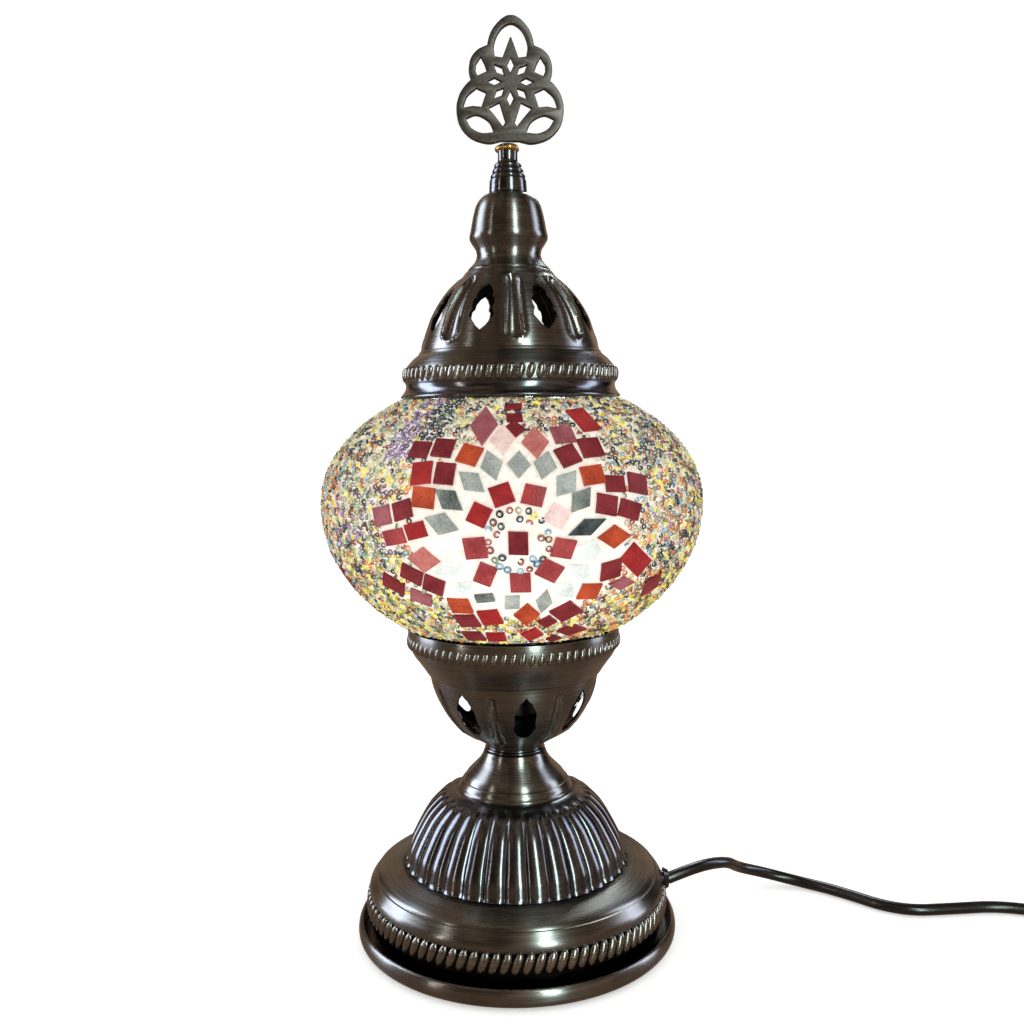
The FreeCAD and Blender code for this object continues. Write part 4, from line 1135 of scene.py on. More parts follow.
@dataclass
class Cap(SheetWork):
    """The pierced cap over the globe: skirt, bead row, troughed dome and vase-shaped neck."""

    body: str = "cap"
    half_hole: Outline = ((0.0, 0.0), (0.22, 0.1), (0.5, 0.3), (0.46, 0.4), (0.4, 0.45), (0.44, 0.56),
                          (0.43, 0.66), (0.33, 0.71), (0.31, 0.82), (0.18, 0.93), (0.0, 1.0))

    def build(self) -> None:
        """Makes the cap's pieces."""
        self.build_skirt()
        self.build_dome()
        self.build_neck()

    def build_skirt(self) -> None:
        """The lip, the polished hollow and the shoulder that the beads sit on."""
        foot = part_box("cap_skirt")[0].z
        lip = flowing(((44.0, -0.1), (44.5, 0.4), (44.2, 1.0), (43.4, 1.9), (42.5, 3.6), (42.3, 5.2)), 0.6)
        band = flowing(((42.3, 5.2), (42.6, 6.3), (42.8, 9), (42.5, 11.6)), 0.8)
        shoulder = flowing(((42.5, 11.6), (41.6, 12.9), (39.4, 15.4), (37.2, 17.2), (36.3, 18.6),
                            (33.5, 18.9)), 0.8)
        skirt = self.spin("cap_skirt_spun", "cap_skirt", 144, lip, band, shoulder)
        self.sheet(skirt, self.finishes.brushed)
        painted(skirt, self.finishes.polished, lambda place: place.z < foot + 6.5 * MM)
        self.show(skirt, self.finishes.polished, "cap_skirt")
        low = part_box("cap_bead_band")[0].z
        row = BeadRow(70, 42.1, low - 0.6 * MM, 6.4, 3.5, 1.7, 18, -3).build("cap_bead_row")
        dress(row, self.body, Slot.BRONZE, self.finishes.beaded, "cap_bead_band")

    def build_dome(self) -> None:
        """The dome with pressed troughs and fretted holes between them."""
        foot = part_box("cap_dome")[0].z
        side = flowing(((36.3, -0.4), (36.1, 0.3), (35.1, 3.5), (33.4, 8.5), (31.5, 13.5), (28.7, 18.5),
                        (25.1, 23.4), (21.3, 27.2), (18.9, 29.5), (16.9, 31.8), (14, 31.8)), 0.75)
        dome = self.spin("cap_dome_pierced", "cap_dome", 320, side)
        grooves = Troughs(8, 3, foot / MM + 6.4, foot / MM + 25.5, 3.9, 0.3, 1.8, 0.4)
        pushed(dome, grooves.push)
        self.sheet(dome, self.finishes.brushed)
        Piercings(self.half_hole, 10.0, 18.3, foot + 6.2 * MM, 25.5, 8, (12, 50)).punch(dome)
        self.show(dome, self.finishes.brushed, "cap_dome")

    def build_neck(self) -> None:
        """The vase-shaped neck that covers the rod."""
        base = flowing(((16.9, -0.3), (16.5, 0.8), (15.2, 2.1), (13.6, 4.1), (12.9, 6.4)), 0.6)
        waist = flowing(((12.9, 6.4), (13.3, 8.6), (14.9, 11.2)), 0.7)
        belly = flowing(((14.9, 11.2), (15.7, 12.6), (15.75, 14), (15.3, 16), (14.2, 21.7), (13.0, 25.9),
                         (11.4, 28.4), (9.5, 29.9), (7.4, 30.3), (3.1, 30.3)), 1.0)
        neck = self.spin("cap_neck_spun", "cap_neck", 96, base, waist, belly)
        self.show(self.sheet(neck, self.finishes.brushed), self.finishes.brushed, "cap_neck")


@dataclass
class Finial:
    """The turned stem and the cast openwork leaf soldered on it."""

    finishes: Finishes
    body: str = "finial"
    thickness: float = 2.5
    lean: float = 1.2
    aside: float = 0.9
    petals: int = 8
    star: tuple[float, float] = (0.0, 24.3)

    def build(self) -> None:
        """Makes the stem, the leaf and the solder."""
        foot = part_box("finial_stem")[0].z
        low = [(3.1, 0.1), (7.3, 0.1)]
        barrel = flowing(((7.3, 0.1), (7.6, 0.7), (7.5, 3), (7.3, 5.4), (6.7, 5.8)), 0.8)
        rings = joined_runs(*(flowing(((radius, level), (radius + 0.35, level + 0.9),
                                       (radius - 0.1, level + 1.9), (radius - 0.75, level + 2.1)), 0.4)
                              for radius, level in ((6.7, 5.8), (5.95, 7.9), (5.2, 10.0))))
        shaft = flowing(((4.45, 12.1), (4.1, 12.8), (3.95, 14), (3.95, 19.0), (3.6, 19.3)), 1)
        stem = turned("finial_stem_turned", joined_runs(low, barrel, rings, shaft, [(0, 19.3)]), foot, 64)
        dress(smoothed(stem), self.body, Slot.BRONZE, self.finishes.polished, "finial_stem")
        self.build_leaf()
        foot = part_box("finial_solder")[0].z
        drop = flowing(((3.9, 0), (4.6, 0.4), (4.9, 1.1), (4.4, 1.9), (3.2, 2.4)), 0.4)
        blob = turned("finial_solder_bead", drop, foot, 40)
        pushed(blob, lambda angle, *_: 0.25 * math.sin(3 * angle) + 0.15 * math.sin(7 * angle + 1))
        dress(smoothed(blob), self.body, Slot.BRASS, self.finishes.by_slot[Slot.BRASS], "finial_solder")

    def outlines(self) -> Iterator[list[tuple[float, float]]]:
        """The leaf's outer edge and then its holes, in millimetres from the middle of its foot."""
        bottom = [(3.9, 1.2)] + flowing(((4.4, 1.0), (9.1, 0.3), (15.6, 2.4), (20.1, 7.3), (21.4, 13.6),
                                         (20.3, 19.0), (17.9, 22.8), (15.8, 24.8)), 1.2)
        middle = flowing(((15.8, 24.8), (16.6, 28.4), (15.8, 33.1), (13.1, 36.5), (9.3, 38.3)), 1.2)
        arch = flowing(((9.3, 38.3), (8.7, 41.2), (7.1, 44.7), (4.2, 48.0), (1.6, 49.6), (0, 49.8)), 1.2)
        yield mirrored(joined_runs(bottom, middle, arch))
        opening = flowing(((6.2, 34.0), (6.6, 38.0), (5.3, 42.1), (3.2, 44.9), (0.9, 46.3), (0, 46.4)), 1)
        spike = [(0, 41.5), (0.35, 41.2), (3.2, 33.6)]
        yield [*spike, *opening, *[(-x, z) for x, z in reversed([*spike[1:], *opening[:-1]])]]
        centre = Vector(self.star)
        for petal in range(self.petals):
            turn = Matrix.Rotation(math.tau * petal / self.petals, 2)
            yield [tuple(centre + turn @ Vector(place)) for place in (
                (3.6, 0), (6.3, 1.35), (9.2, 0), (6.3, -1.35))]
        for side in (1, -1):
            for hole in (
                    [(11.8, 33.6), (13.6, 30.9), (13.8, 28.4), (13.0, 26.6), (9.4, 28.2), (10.4, 31)],
                    [(9.6, 19.9), (13.4, 21.6), *flowing(((13.4, 21.6), (17.0, 18.5), (18.7, 14.2)), 1)[1:],
                     (14.8, 14.9), (11.4, 14.6)],
                    flowing(((6.5, 4.8), (8.7, 8.9), (13.4, 11.2), (17.5, 9.8)), 1)
                    + flowing(((17.5, 9.8), (15.2, 6.3), (11.2, 4.5), (6.5, 4.8)), 1)[1:-1],
                    [(4.3, 16.1), (8.5, 14.1), (6.0, 11.2), (2.8, 7.2), (1.9, 8.6)]):
                yield [(side * x, z) for x, z in hole]

    def build_leaf(self) -> None:
        """Cuts the leaf from a bevelled plate and stands it on the stem with its slight lean."""
        plate = bpy.data.curves.new("leaf", "CURVE")
        plate.dimensions = "2D"
        plate.fill_mode = "BOTH"
        plate.bevel_depth = 0.45 * MM
        plate.bevel_resolution = 2
        plate.offset = -0.45 * MM
        plate.extrude = (self.thickness / 2 - 0.45) * MM
        for outline in self.outlines():
            spline = plate.splines.new("POLY")
            spline.points.add(len(outline) - 1)
            for point, (x, z) in zip(spline.points, outline):
                point.co = (x * MM, z * MM, 0, 1)
            spline.use_cyclic_u = True
        leaf = bpy.data.objects.new("finial_leaf_cast", plate)
        bpy.context.collection.objects.link(leaf)
        only(leaf)
        bpy.ops.object.convert(target="MESH")
        leaf = bpy.context.object
        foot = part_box("finial_ornament")[0].z
        leaf.data.transform(Matrix.Translation((self.aside * MM, 0, foot))
                            @ Matrix.Rotation(math.radians(self.lean), 4, "Y")
                            @ Matrix.Rotation(math.pi / 2, 4, "X"))
        with editing(leaf):
            bpy.ops.mesh.remove_doubles(threshold=MERGE)
            bpy.ops.mesh.normals_make_consistent(inside=False)
        dress(smoothed(leaf, 40), self.body, Slot.BRONZE, self.finishes.cast, "finial_ornament")


# ---------------------------------------------------------------- the mosaic

class Tint(Enum):
    """The sheet glasses that tiles are cut from: (deep colour, bright colour, glow)."""

    GARNET = ("#6A1F25", "#8E3236", 0.1)
    RED = ("#861F24", "#AE302E", 0.14)
    BRICK = ("#8E3438", "#B4504E", 0.14)
    ORANGE = ("#97331F", "#C65430", 0.16)
    SALMON = ("#A85650", "#CC827A", 0.2)
    PINK = ("#CBA59F", "#EED6CE", 0.25)
    MAUVE = ("#8A434B", "#AA666A", 0.12)
    SILVER = ("#868D86", "#BDC2BB", 0.12)
    SLATE = ("#4A524C", "#8E958E", 0.08)
    SMOKE = ("#23282A", "#555D5C", 0.0)
    PALE = ("#C3C9C4", "#EEF1EC", 0.3)


class Bead(Enum):
    """The seed-bead glasses: (deep colour, bright colour, glow)."""

    CREAM = ("#756D4C", "#EFE8C8", 0.2)
    YELLOW = ("#A5983E", "#F6EC78", 0.3)
    GREEN = ("#4E6B50", "#A8C096", 0.15)
    BROWN = ("#54392C", "#A87858", 0.1)
    ORANGE = ("#A05828", "#EEA868", 0.2)
    PURPLE = ("#5C4468", "#B094BC", 0.15)
    INK = ("#20272A", "#55616A", 0.0)
    BLUE = ("#4E6E8C", "#A8CCDC", 0.2)
    ROSE = ("#84343C", "#C47874", 0.12)


@dataclass(frozen=True)
class Tile:
    """One tile of a flower, as it is laid.

    Attributes:
        tint: The glass that it is cut from.
        right: How far right of the flower's middle it is, in millimetres, seen from the front.
        up: How far above the flower's middle it is, in millimetres, seen from the front.
        width: Its width across its own axis, in millimetres.
        height: Its height along its own axis, in millimetres.
        twist: The turn of its own axis from straight up, in degrees, anticlockwise.
        lozenge: Whether it is a lozenge, whose points lie on its axes, instead of a square.
    """

    tint: Tint
    right: float
    up: float
    width: float
    height: float
    twist: float
    lozenge: bool = False


FLOWER_HEART = (
    Tile(Tint.GARNET, 0.0, -1.9, 7.3, 8.3, -1), Tile(Tint.RED, -5.4, 14.8, 7.9, 7.7, 18),
    Tile(Tint.RED, 5.4, 14.5, 7.9, 7.4, -16), Tile(Tint.RED, -13.2, 8.0, 7.4, 7.7, -27),
    Tile(Tint.BRICK, -14.7, -3.4, 8.0, 7.7, 6), Tile(Tint.BRICK, -11.4, -12.5, 6.9, 7.2, -26),
    Tile(Tint.BRICK, 0.6, -15.5, 7.6, 6.7, 0), Tile(Tint.BRICK, 10.6, -11.4, 7.8, 7.0, -30),
    Tile(Tint.BRICK, 15.4, -3.8, 7.6, 7.2, -14), Tile(Tint.PINK, 13.5, 7.2, 7.6, 7.6, -33),
)
SILVER_PETALS = (
    Tile(Tint.SILVER, 0.5, 25.1, 8.6, 9.8, 0, True), Tile(Tint.SILVER, 9.4, 24.8, 8.2, 10.8, -17, True),
    Tile(Tint.SILVER, -8.7, 25.0, 8.2, 11.0, 18, True), Tile(Tint.SILVER, -15.6, 19.4, 8.0, 11.4, 52, True),
    Tile(Tint.SLATE, -23.4, 13.3, 8.0, 12.2, 54, True), Tile(Tint.SILVER, -26.0, 5.1, 8.2, 13.0, 70, True),
    Tile(Tint.SILVER, 16.5, 18.4, 8.8, 11.0, -40, True), Tile(Tint.SLATE, 21.5, 12.8, 7.8, 11.2, -43, True),
    Tile(Tint.SMOKE, 23.6, 3.4, 6.6, 14.0, -70, True), Tile(Tint.PALE, 24.8, -4.6, 8.4, 10.4, -108, True),
    Tile(Tint.PALE, 21.2, -12.1, 7.6, 9.6, -125, True), Tile(Tint.PALE, 15.7, -18.2, 6.8, 9.0, -130, True),
    Tile(Tint.SILVER, 8.6, -22.1, 6.2, 8.6, -5, True), Tile(Tint.SILVER, -2.3, -22.2, 5.6, 4.6, 0),
    Tile(Tint.SLATE, -11.7, -20.6, 6.8, 3.2, 8), Tile(Tint.PALE, -19.5, -17.2, 6.4, 9.0, -58, True),
    Tile(Tint.PALE, -24.0, -10.5, 7.2, 10.6, -70, True),
)
ORANGE_POINTS = (
    Tile(Tint.SALMON, 6.1, 32.5, 10.4, 10.4, 0, True), Tile(Tint.PINK, -4.8, 33.6, 9.2, 10.6, 0, True),
    Tile(Tint.ORANGE, -16.1, 28.6, 7.4, 7.2, -16), Tile(Tint.ORANGE, -32.0, 14.2, 7.9, 7.7, -5),
    Tile(Tint.SALMON, -32.3, -7.2, 9.4, 11.6, 86, True), Tile(Tint.ORANGE, -20.1, -23.2, 7.6, 5.4, 3),
    Tile(Tint.ORANGE, 2.6, -26.5, 9.4, 7.8, 0, True), Tile(Tint.ORANGE, 24.1, -18.7, 7.2, 5.8, -4),
    Tile(Tint.ORANGE, 32.7, 0.0, 8.6, 12.0, 90, True), Tile(Tint.ORANGE, 25.4, 21.2, 7.8, 7.0, 4),
)
GARNET_BLOCKS = (
    # upper left
    Tile(Tint.GARNET, -32.7, 30.5, 6.6, 6.2, 0), Tile(Tint.GARNET, -24.9, 31.0, 7.2, 6.8, -3),
    Tile(Tint.RED, -32.4, 22.6, 7.1, 8.1, 4), Tile(Tint.GARNET, -24.6, 22.3, 7.0, 7.9, -4),
    # left
    Tile(Tint.GARNET, -39.2, 10.0, 6.7, 6.9, 17), Tile(Tint.MAUVE, -46.1, 8.1, 5.9, 7.2, 15),
    Tile(Tint.RED, -34.8, 2.9, 7.0, 6.2, 15), Tile(Tint.BRICK, -42.1, 0.8, 7.0, 5.9, 13),
    # lower left
    Tile(Tint.GARNET, -36.5, -12.2, 8.4, 5.0, -25), Tile(Tint.GARNET, -29.0, -16.0, 8.0, 5.4, -24),
    Tile(Tint.GARNET, -42.6, -15.4, 8.6, 4.6, -25), Tile(Tint.MAUVE, -33.4, -20.1, 8.2, 4.2, -22),
    # bottom left
    Tile(Tint.GARNET, -17.7, -28.4, 7.4, 4.9, 7), Tile(Tint.RED, -9.9, -27.3, 7.5, 5.5, 11),
    Tile(Tint.GARNET, -15.5, -33.7, 7.0, 4.5, 2), Tile(Tint.RED, -7.9, -34.1, 7.0, 4.4, 0),
    # bottom right
    Tile(Tint.GARNET, 16.1, -25.6, 8.2, 12.0, 86, True), Tile(Tint.GARNET, 9.6, -29.0, 5.0, 7.0, 88, True),
    Tile(Tint.GARNET, 17.7, -31.9, 5.4, 11.2, 84, True), Tile(Tint.RED, 4.4, -33.3, 6.4, 8.6, 84, True),
    Tile(Tint.GARNET, 11.6, -34.8, 4.0, 6.0, 88, True),
    # lower right
    Tile(Tint.RED, 40.0, -8.1, 8.6, 8.2, -38), Tile(Tint.GARNET, 31.5, -11.4, 7.4, 6.4, 10),
    Tile(Tint.MAUVE, 35.2, -16.0, 5.8, 9.2, 88, True), Tile(Tint.GARNET, 45.2, -16.3, 6.8, 6.0, 24),
    # upper right
    Tile(Tint.GARNET, 33.0, 18.1, 6.9, 6.1, -5), Tile(Tint.GARNET, 40.6, 18.1, 6.6, 7.2, -10),
    Tile(Tint.GARNET, 30.2, 11.0, 7.4, 7.4, -10), Tile(Tint.GARNET, 37.9, 9.2, 7.4, 6.6, -17),
    # top right
    Tile(Tint.GARNET, 17.1, 27.9, 7.2, 7.5, 18), Tile(Tint.GARNET, 24.8, 30.5, 7.5, 7.2, 4),
    Tile(Tint.RED, 22.4, 39.9, 6.4, 9.6, 7), Tile(Tint.MAUVE, 15.5, 35.0, 7.6, 6.2, 4),
    # top
    Tile(Tint.MAUVE, -11.1, 38.4, 10.0, 13.0, 2, True), Tile(Tint.GARNET, -1.2, 44.4, 6.4, 3.0, 0),
    Tile(Tint.GARNET, -0.8, 40.8, 6.0, 3.0, 0), Tile(Tint.GARNET, -1.0, 36.9, 8.0, 6.6, 0, True),
)


@dataclass(frozen=True)
class Seat:
    """A tile's place on the globe: its middle, its two half axes in metres, its normal and its kind."""

    tile: Tile
    middle: Vector
    across: Vector
    along: Vector
    out: Vector

    def covers(self, place: Vector, margin: float) -> bool:
        """Whether a place on the globe is on the tile or within a margin in metres of it."""
        gap = place - self.middle
        if gap.length > self.across.length + self.along.length + margin:
            return False
        side = abs(gap.dot(self.across.normalized()))
        rise = abs(gap.dot(self.along.normalized()))
        if self.tile.lozenge:
            return side / (self.across.length + margin * 1.2) + rise / (self.along.length + margin * 1.2) < 1
        return side < self.across.length + margin and rise < self.along.length + margin


@dataclass
class Globe:
    """The mosaic globe: glowing grout, three flowers of cut glass and a field of seed beads."""

    finishes: Finishes
    eye: Vector
    body: str = "globe"
    upper: float = 50.5
    lower: float = 61.5
    flowers: int = 3
    flower_middle: tuple[float, float] = (2.1, 174.5)
    bead_pitch: float = 2.15
    joint: float = 0.55
    beads_a_piece: int = 2000
    seed: int = 7
    chance: random.Random = field(init=False)
    radius: float = field(init=False)
    equator: float = field(init=False)
    foot: float = field(init=False)
    top: float = field(init=False)

    def __post_init__(self) -> None:
        """Reads the globe's size from the frame."""
        self.chance = random.Random(self.seed)
        low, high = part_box("mosaic_facing")
        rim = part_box("globe_bowl")[1].x / MM - 0.4
        self.radius = high.x / MM
        self.foot, self.top = low.z / MM, high.z / MM
        self.equator = self.foot + self.lower * math.sqrt(1 - (rim / self.radius) ** 2)

    def tall(self, height: float) -> float:
        """The globe's half height on the side of its equator where a height lies."""
        return self.upper if height >= self.equator else self.lower

    def face(self, angle: float, height: float, depth: float = 0.0) -> tuple[Vector, Vector]:
        """The point of the globe at an angle and a height, depth millimetres inside, and its normal."""
        tall = self.tall(height)
        rise = (height - self.equator) / tall
        radius = self.radius * math.sqrt(max(0.0, 1 - rise ** 2))
        x, y = math.sin(angle) * radius, -math.cos(angle) * radius
        out = Vector((x / self.radius ** 2, y / self.radius ** 2, rise / tall)).normalized()
        place = Vector((x, y, height))
        return (place - out * depth) * MM, out

    def seen_at(self, across: float, height: float) -> tuple[Vector, Vector]:
        """The point of the globe behind a point of the upright plane that touches its front.

        Args:
            across: How far right of the axis the point of the plane is, in millimetres.
            height: Its height, in millimetres.

        Returns:
            The point on the globe, in metres, and the normal there.
        """
        target = Vector((across, -self.radius, height))
        ray = target - self.eye / MM
        start = self.eye / MM
        share = 1.0
        for _ in range(24):
            place = start + ray * share
            tall = self.tall(place.z)
            inside = 1 - ((place.z - self.equator) / tall) ** 2 - (place.x / self.radius) ** 2
            deep = -self.radius * math.sqrt(max(inside, 0.02))
            share += (deep - place.y) / ray.y
        place = start + ray * share
        return self.face(math.atan2(place.x, -place.y), place.z)

    def seated(self) -> list[Seat]:
        """Every tile of every flower, laid on the globe."""
        seats = []
        pattern = (*FLOWER_HEART, *SILVER_PETALS, *ORANGE_POINTS, *GARNET_BLOCKS)
        for flower in range(self.flowers):
            round_to = Matrix.Rotation(math.tau * flower / self.flowers, 3, "Z")
            for tile in pattern:
                place, out = self.seen_at(self.flower_middle[0] + tile.right, self.flower_middle[1] + tile.up)
                level = Vector((0, 0, 1)).cross(out).normalized()
                rise = out.cross(level)
                twist = math.radians(tile.twist)
                across = level * math.cos(twist) + rise * math.sin(twist)
                along = rise * math.cos(twist) - level * math.sin(twist)
                across *= (tile.width - self.joint) / 2 * MM / self.foreshortening(place, across, out)
                along *= (tile.height - self.joint) / 2 * MM / self.foreshortening(place, along, out)
                seats.append(Seat(tile, round_to @ place, round_to @ across, round_to @ along,
                                  round_to @ out))
        return seats

    def foreshortening(self, place: Vector, way: Vector, out: Vector) -> float:
        """What share of a length along the glass shows from the front, kept above a half."""
        sight = (place - self.eye).normalized()
        plane = way - sight * way.dot(sight)
        nearer = (self.eye.y + self.radius * MM) / (self.eye.y - place.y)
        return max(0.55, plane.length * nearer)

    def build(self) -> None:
        """Makes the grout, the tiles and the beads."""
        self.build_grout()
        seats = self.seated()
        self.build_tiles(seats)
        self.build_beads(seats)

    def build_grout(self) -> None:
        """The grout bed, a little below the faces of the tiles."""
        deep = 0.75
        outline = []
        rows = 90
        for row in range(rows + 1):
            height = self.foot + (self.top - self.foot) * row / rows
            place, _ = self.face(0, height, deep)
            outline.append((-place.y / MM, place.z / MM))
        inside = []
        for row in range(rows, -1, -6):
            height = self.foot + (self.top - self.foot) * row / rows
            place, _ = self.face(0, height, 2.7)
            inside.append((-place.y / MM, place.z / MM))
        bed = turned("mosaic_grout_bed", [*outline, *inside, outline[0]], 0, 240)
        grout = self.finishes.by_slot[Slot.GROUT]
        dress(smoothed(bed, 60), self.body, Slot.GROUT, grout, "mosaic_grout", "mosaic_facing")

    def build_tiles(self, seats: Sequence[Seat]) -> None:
        """Cuts each kind of tile once and lays its copies, one piece for each glass."""
        nothing_selected()
        bpy.ops.mesh.primitive_cube_add(size=2, location=(0, 0, 0))
        square = bpy.context.object
        square.name = "square_tile"
        with editing(square):
            select_edges(square, lambda a, b: a.z > 0.5 and b.z > 0.5)
            bpy.ops.mesh.bevel(offset=0.09, segments=2, affect="EDGES")
            bpy.ops.mesh.select_all(action="SELECT")
            bpy.ops.mesh.subdivide(number_cuts=1)
        for tint in Tint:
            places = [self.laid(seat) for seat in seats if seat.tile.tint is tint]
            if not places:
                continue
            tiles = copied("tiles_" + tint.name.lower(), square, places)
            deep, bright, glow = tint.value
            clear = tint in (Tint.SILVER, Tint.SLATE, Tint.SMOKE, Tint.PALE)
            relief = 1.0 if clear else 0.5
            glass = MosaicGlass("stained_glass_" + tint.name.lower(), deep, bright, glow, relief).make()
            dress(smoothed(tiles, 30), self.body, Slot.MOSAIC, glass, "mosaic_facing")
        discard(square)

    def laid(self, seat: Seat) -> Matrix:
        """The matrix that lays the unit tile in its seat, cut a little out of square."""
        thickness = 1.15
        across, along = seat.across, seat.along
        if seat.tile.lozenge:
            across, along = (along - across) / 2, (along + across) / 2
            across, along = -across, along
        across = across + along * self.chance.uniform(-0.06, 0.06)
        along = along + across * self.chance.uniform(-0.06, 0.06)
        rise = seat.out * thickness / 2 * MM
        middle = seat.middle - seat.out * (thickness / 2 - 0.05) * MM
        tilt = Matrix.Rotation(math.radians(self.chance.uniform(-1.5, 1.5)), 3, seat.across)
        columns = [tilt @ across, tilt @ along, rise]
        if columns[0].cross(columns[1]).dot(columns[2]) < 0:
            columns[0] = -columns[0]
        return Matrix((
            (columns[0].x, columns[1].x, columns[2].x, middle.x),
            (columns[0].y, columns[1].y, columns[2].y, middle.y),
            (columns[0].z, columns[1].z, columns[2].z, middle.z), (0, 0, 0, 1)))

    def palette(self, angle: float, height: float) -> dict[Bead, float]:
        """The mixture of beads in each patch of the field between two flowers.

        Args:
            angle: Degrees from the nearest flower's middle, to the right positive.
            height: Millimetres above the table.

        Returns:
            How often each glass is picked there.
        """
        base = {Bead.CREAM: 7, Bead.YELLOW: 2, Bead.GREEN: 1, Bead.BROWN: 2.2, Bead.INK: 1.6,
                Bead.ORANGE: 1.3, Bead.PURPLE: 0.3, Bead.BLUE: 0.5, Bead.ROSE: 0.6}
        high, low = height > 200, height < 158
        if high and -46 < angle < -22:
            streak = int((angle + 46) // 4.8)
            strong = (Bead.CREAM, Bead.PURPLE, Bead.PURPLE, Bead.INK, Bead.INK)[streak]
            base[strong] += 34
        elif high and -22 <= angle < 24:
            base[Bead.CREAM] += 5
            base[Bead.INK] += 3
        elif high:
            base[Bead.INK] += 3
            base[Bead.CREAM] += 3
        elif low and angle > 0:
            base[Bead.ORANGE] += 2.5
            base[Bead.YELLOW] += 2.5
            base[Bead.BROWN] += 1.5
        elif low:
            base[Bead.YELLOW] += 3
            base[Bead.GREEN] += 1.5
        elif angle > 0:
            wave = math.sin(height / 9)
            base[Bead.ORANGE if wave > 0 else Bead.INK] += 3
            base[Bead.BLUE] += 1
        else:
            wave = math.sin(height / 8 + 1)
            base[Bead.YELLOW if wave > 0 else Bead.PURPLE] += 2.5
            base[Bead.GREEN] += 1
        return base

    def field_places(self, seats: Sequence[Seat]) -> Iterator[tuple[Bead, Matrix]]:
        """The beads of the field, row on row round the globe, wherever no flower lies."""
        height = self.foot + 1.2
        row = 0
        while height < self.top - 0.6:
            place, out = self.face(0, height)
            girth = math.tau * -place.y / MM
            count = int(girth / (self.bead_pitch + 0.1))
            for step in range(count):
                angle = math.tau * (step + 0.5 * (row % 2) + self.chance.uniform(-0.14, 0.14)) / count
                spot, out = self.face(angle, height + self.chance.uniform(-0.3, 0.3))
                if not self.in_flower(spot) and not any(seat.covers(spot, 0.75 * MM) for seat in seats
                                                       if (seat.middle - spot).length < 12 * MM):
                    from_flower = (math.degrees(angle) + 60) % 120 - 60
                    mixture = self.palette(from_flower, height)
                    kind = self.chance.choices(list(mixture), list(mixture.values()))[0]
                    yield kind, self.bead_place(spot, out)
            row += 1
            slope = math.hypot(out.x, out.y)
            height += self.bead_pitch * 0.92 * max(slope, 0.3)

    def in_flower(self, spot: Vector) -> bool:
        """Whether a spot is in the white heart of a flower, which has no field beads."""
        for flower in range(self.flowers):
            turned_back = Matrix.Rotation(-math.tau * flower / self.flowers, 3, "Z") @ spot
            if turned_back.y > 0:
                continue
            start = self.eye
            share = (-self.radius * MM - start.y) / (turned_back.y - start.y)
            seen = start + (turned_back - start) * share
            across, up = seen.x / MM - self.flower_middle[0], seen.z / MM - self.flower_middle[1]
            tallest = 35 if up > 0 else 28
            if (across / 37) ** 2 + (up / tallest) ** 2 < 1:
                return True
        return False

    def bead_place(self, spot: Vector, out: Vector, size: float = 1.0, tilt: float = 0.5) -> Matrix:
        """The place of one bead bedded in the grout, its hole mostly outwards."""
        turn = out.to_track_quat("Z", "Y").to_matrix().to_4x4()
        lean = Euler((self.chance.gauss(0, tilt), self.chance.gauss(0, tilt),
                      self.chance.uniform(0, math.tau)))
        scale = size * self.chance.uniform(0.88, 1.08)
        return (Matrix.Translation(spot - out * 0.62 * MM) @ turn @ lean.to_matrix().to_4x4()
                @ Matrix.Scale(scale, 4))

    def heart_places(self) -> Iterator[tuple[Bead, Matrix]]:
        """The loose loop of larger beads round each flower's middle tile."""
        kinds = (Bead.BROWN, Bead.ROSE, Bead.YELLOW, Bead.CREAM, Bead.BLUE, Bead.GREEN, Bead.INK)
        for flower in range(self.flowers):
            round_to = Matrix.Rotation(math.tau * flower / self.flowers, 3, "Z")
            for loop, (count, reach) in enumerate(((20, 10.6), (13, 7.7))):
                for step in range(count):
                    bearing = math.tau * (step + self.chance.uniform(-0.2, 0.2)) / count
                    far = reach + self.chance.uniform(-0.5, 0.5)
                    across = self.flower_middle[0] + far * 0.98 * math.cos(bearing)
                    up = self.flower_middle[1] - 1 + far * 1.02 * math.sin(bearing)
                    place, out = self.seen_at(across, up)
                    kind = self.chance.choice(kinds)
                    if loop and self.chance.random() < 0.35:
                        continue
                    yield kind, self.bead_place(round_to @ place, round_to @ out, 1.25, 0.35)

    def build_beads(self, seats: Sequence[Seat]) -> None:
        """Models one seed bead and strews its copies, in pieces of one glass each."""
        nothing_selected()
        bpy.ops.mesh.primitive_torus_add(major_radius=0.84 * MM, minor_radius=0.33 * MM, major_segments=9,
                                         minor_segments=5, location=(0, 0, 0))
        bead = bpy.context.object
        bead.name = "seed_bead"
        with editing(bead):
            bpy.ops.transform.resize(value=(1, 1, 1.35))
        smoothed(bead, 180)
        strewn: dict[Bead, list[Matrix]] = {kind: [] for kind in Bead}
        for kind, place in (*self.field_places(seats), *self.heart_places()):
            strewn[kind].append(place)
        for kind, places in strewn.items():
            deep, bright, glow = kind.value
            glass = SeedGlass("seed_bead_glass_" + kind.name.lower(), deep, bright, glow).make()
            for part, start in enumerate(range(0, len(places), self.beads_a_piece)):
                beads = copied(f"seed_beads_{kind.name.lower()}_{part + 1}", bead,
                               places[start:start + self.beads_a_piece])
                dress(beads, self.body, Slot.MOSAIC, glass, "mosaic_facing")
            log.info("%d %s beads", len(places), kind.name.lower())
        discard(bead)


# ---------------------------------------------------------------- the carried-over nodes

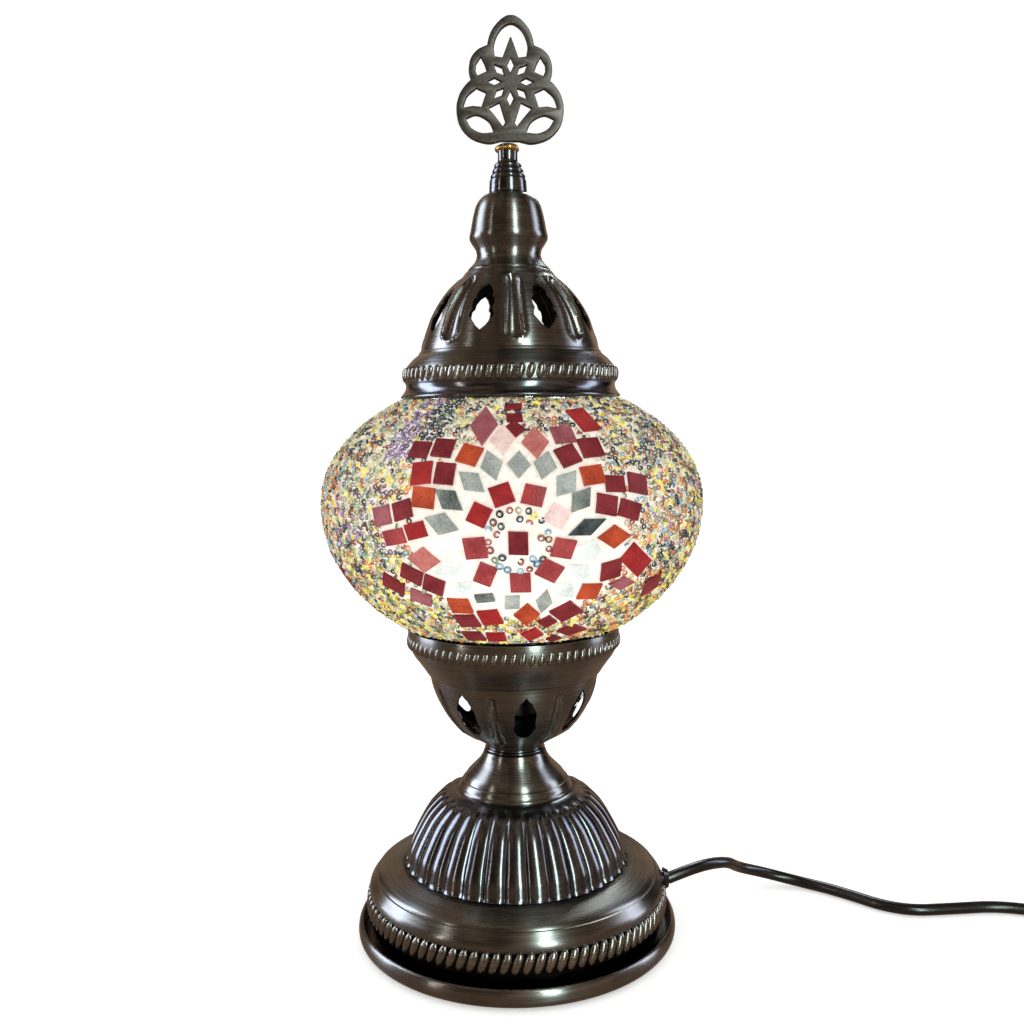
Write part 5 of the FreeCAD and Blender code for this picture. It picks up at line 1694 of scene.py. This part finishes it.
def dress_cad_nodes(finishes: Finishes) -> None:
    """Gives every CAD node that still shows the finish of its material slot."""
    by_name = {slot.value: slot for slot in Slot}
    for name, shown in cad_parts.items():
        if shown.hide_render:
            continue
        for place, old in enumerate(shown.data.materials):
            slot = by_name.get(old.name.split(".")[0]) if old else None
            if slot in finishes.by_slot:
                shown.data.materials[place] = finishes.by_slot[slot]
            else:
                log.warning("%s has no finish for %s", name, old)


def main() -> None:
    """Builds the lamp from the camera and the lead outwards."""
    logging.basicConfig(level=logging.INFO, format="%(message)s")
    studio = Studio()
    studio.set_camera()
    finishes = Finishes()
    LeadFittings(finishes).build()
    Lead(finishes).build()
    studio.lay_floor()
    studio.light()
    Base(finishes).build()
    Bowl(finishes).build()
    Cap(finishes).build()
    Finial(finishes).build()
    Globe(finishes, studio.stand).build()
    dress_cad_nodes(finishes)


if __name__ == "__main__":
    main()
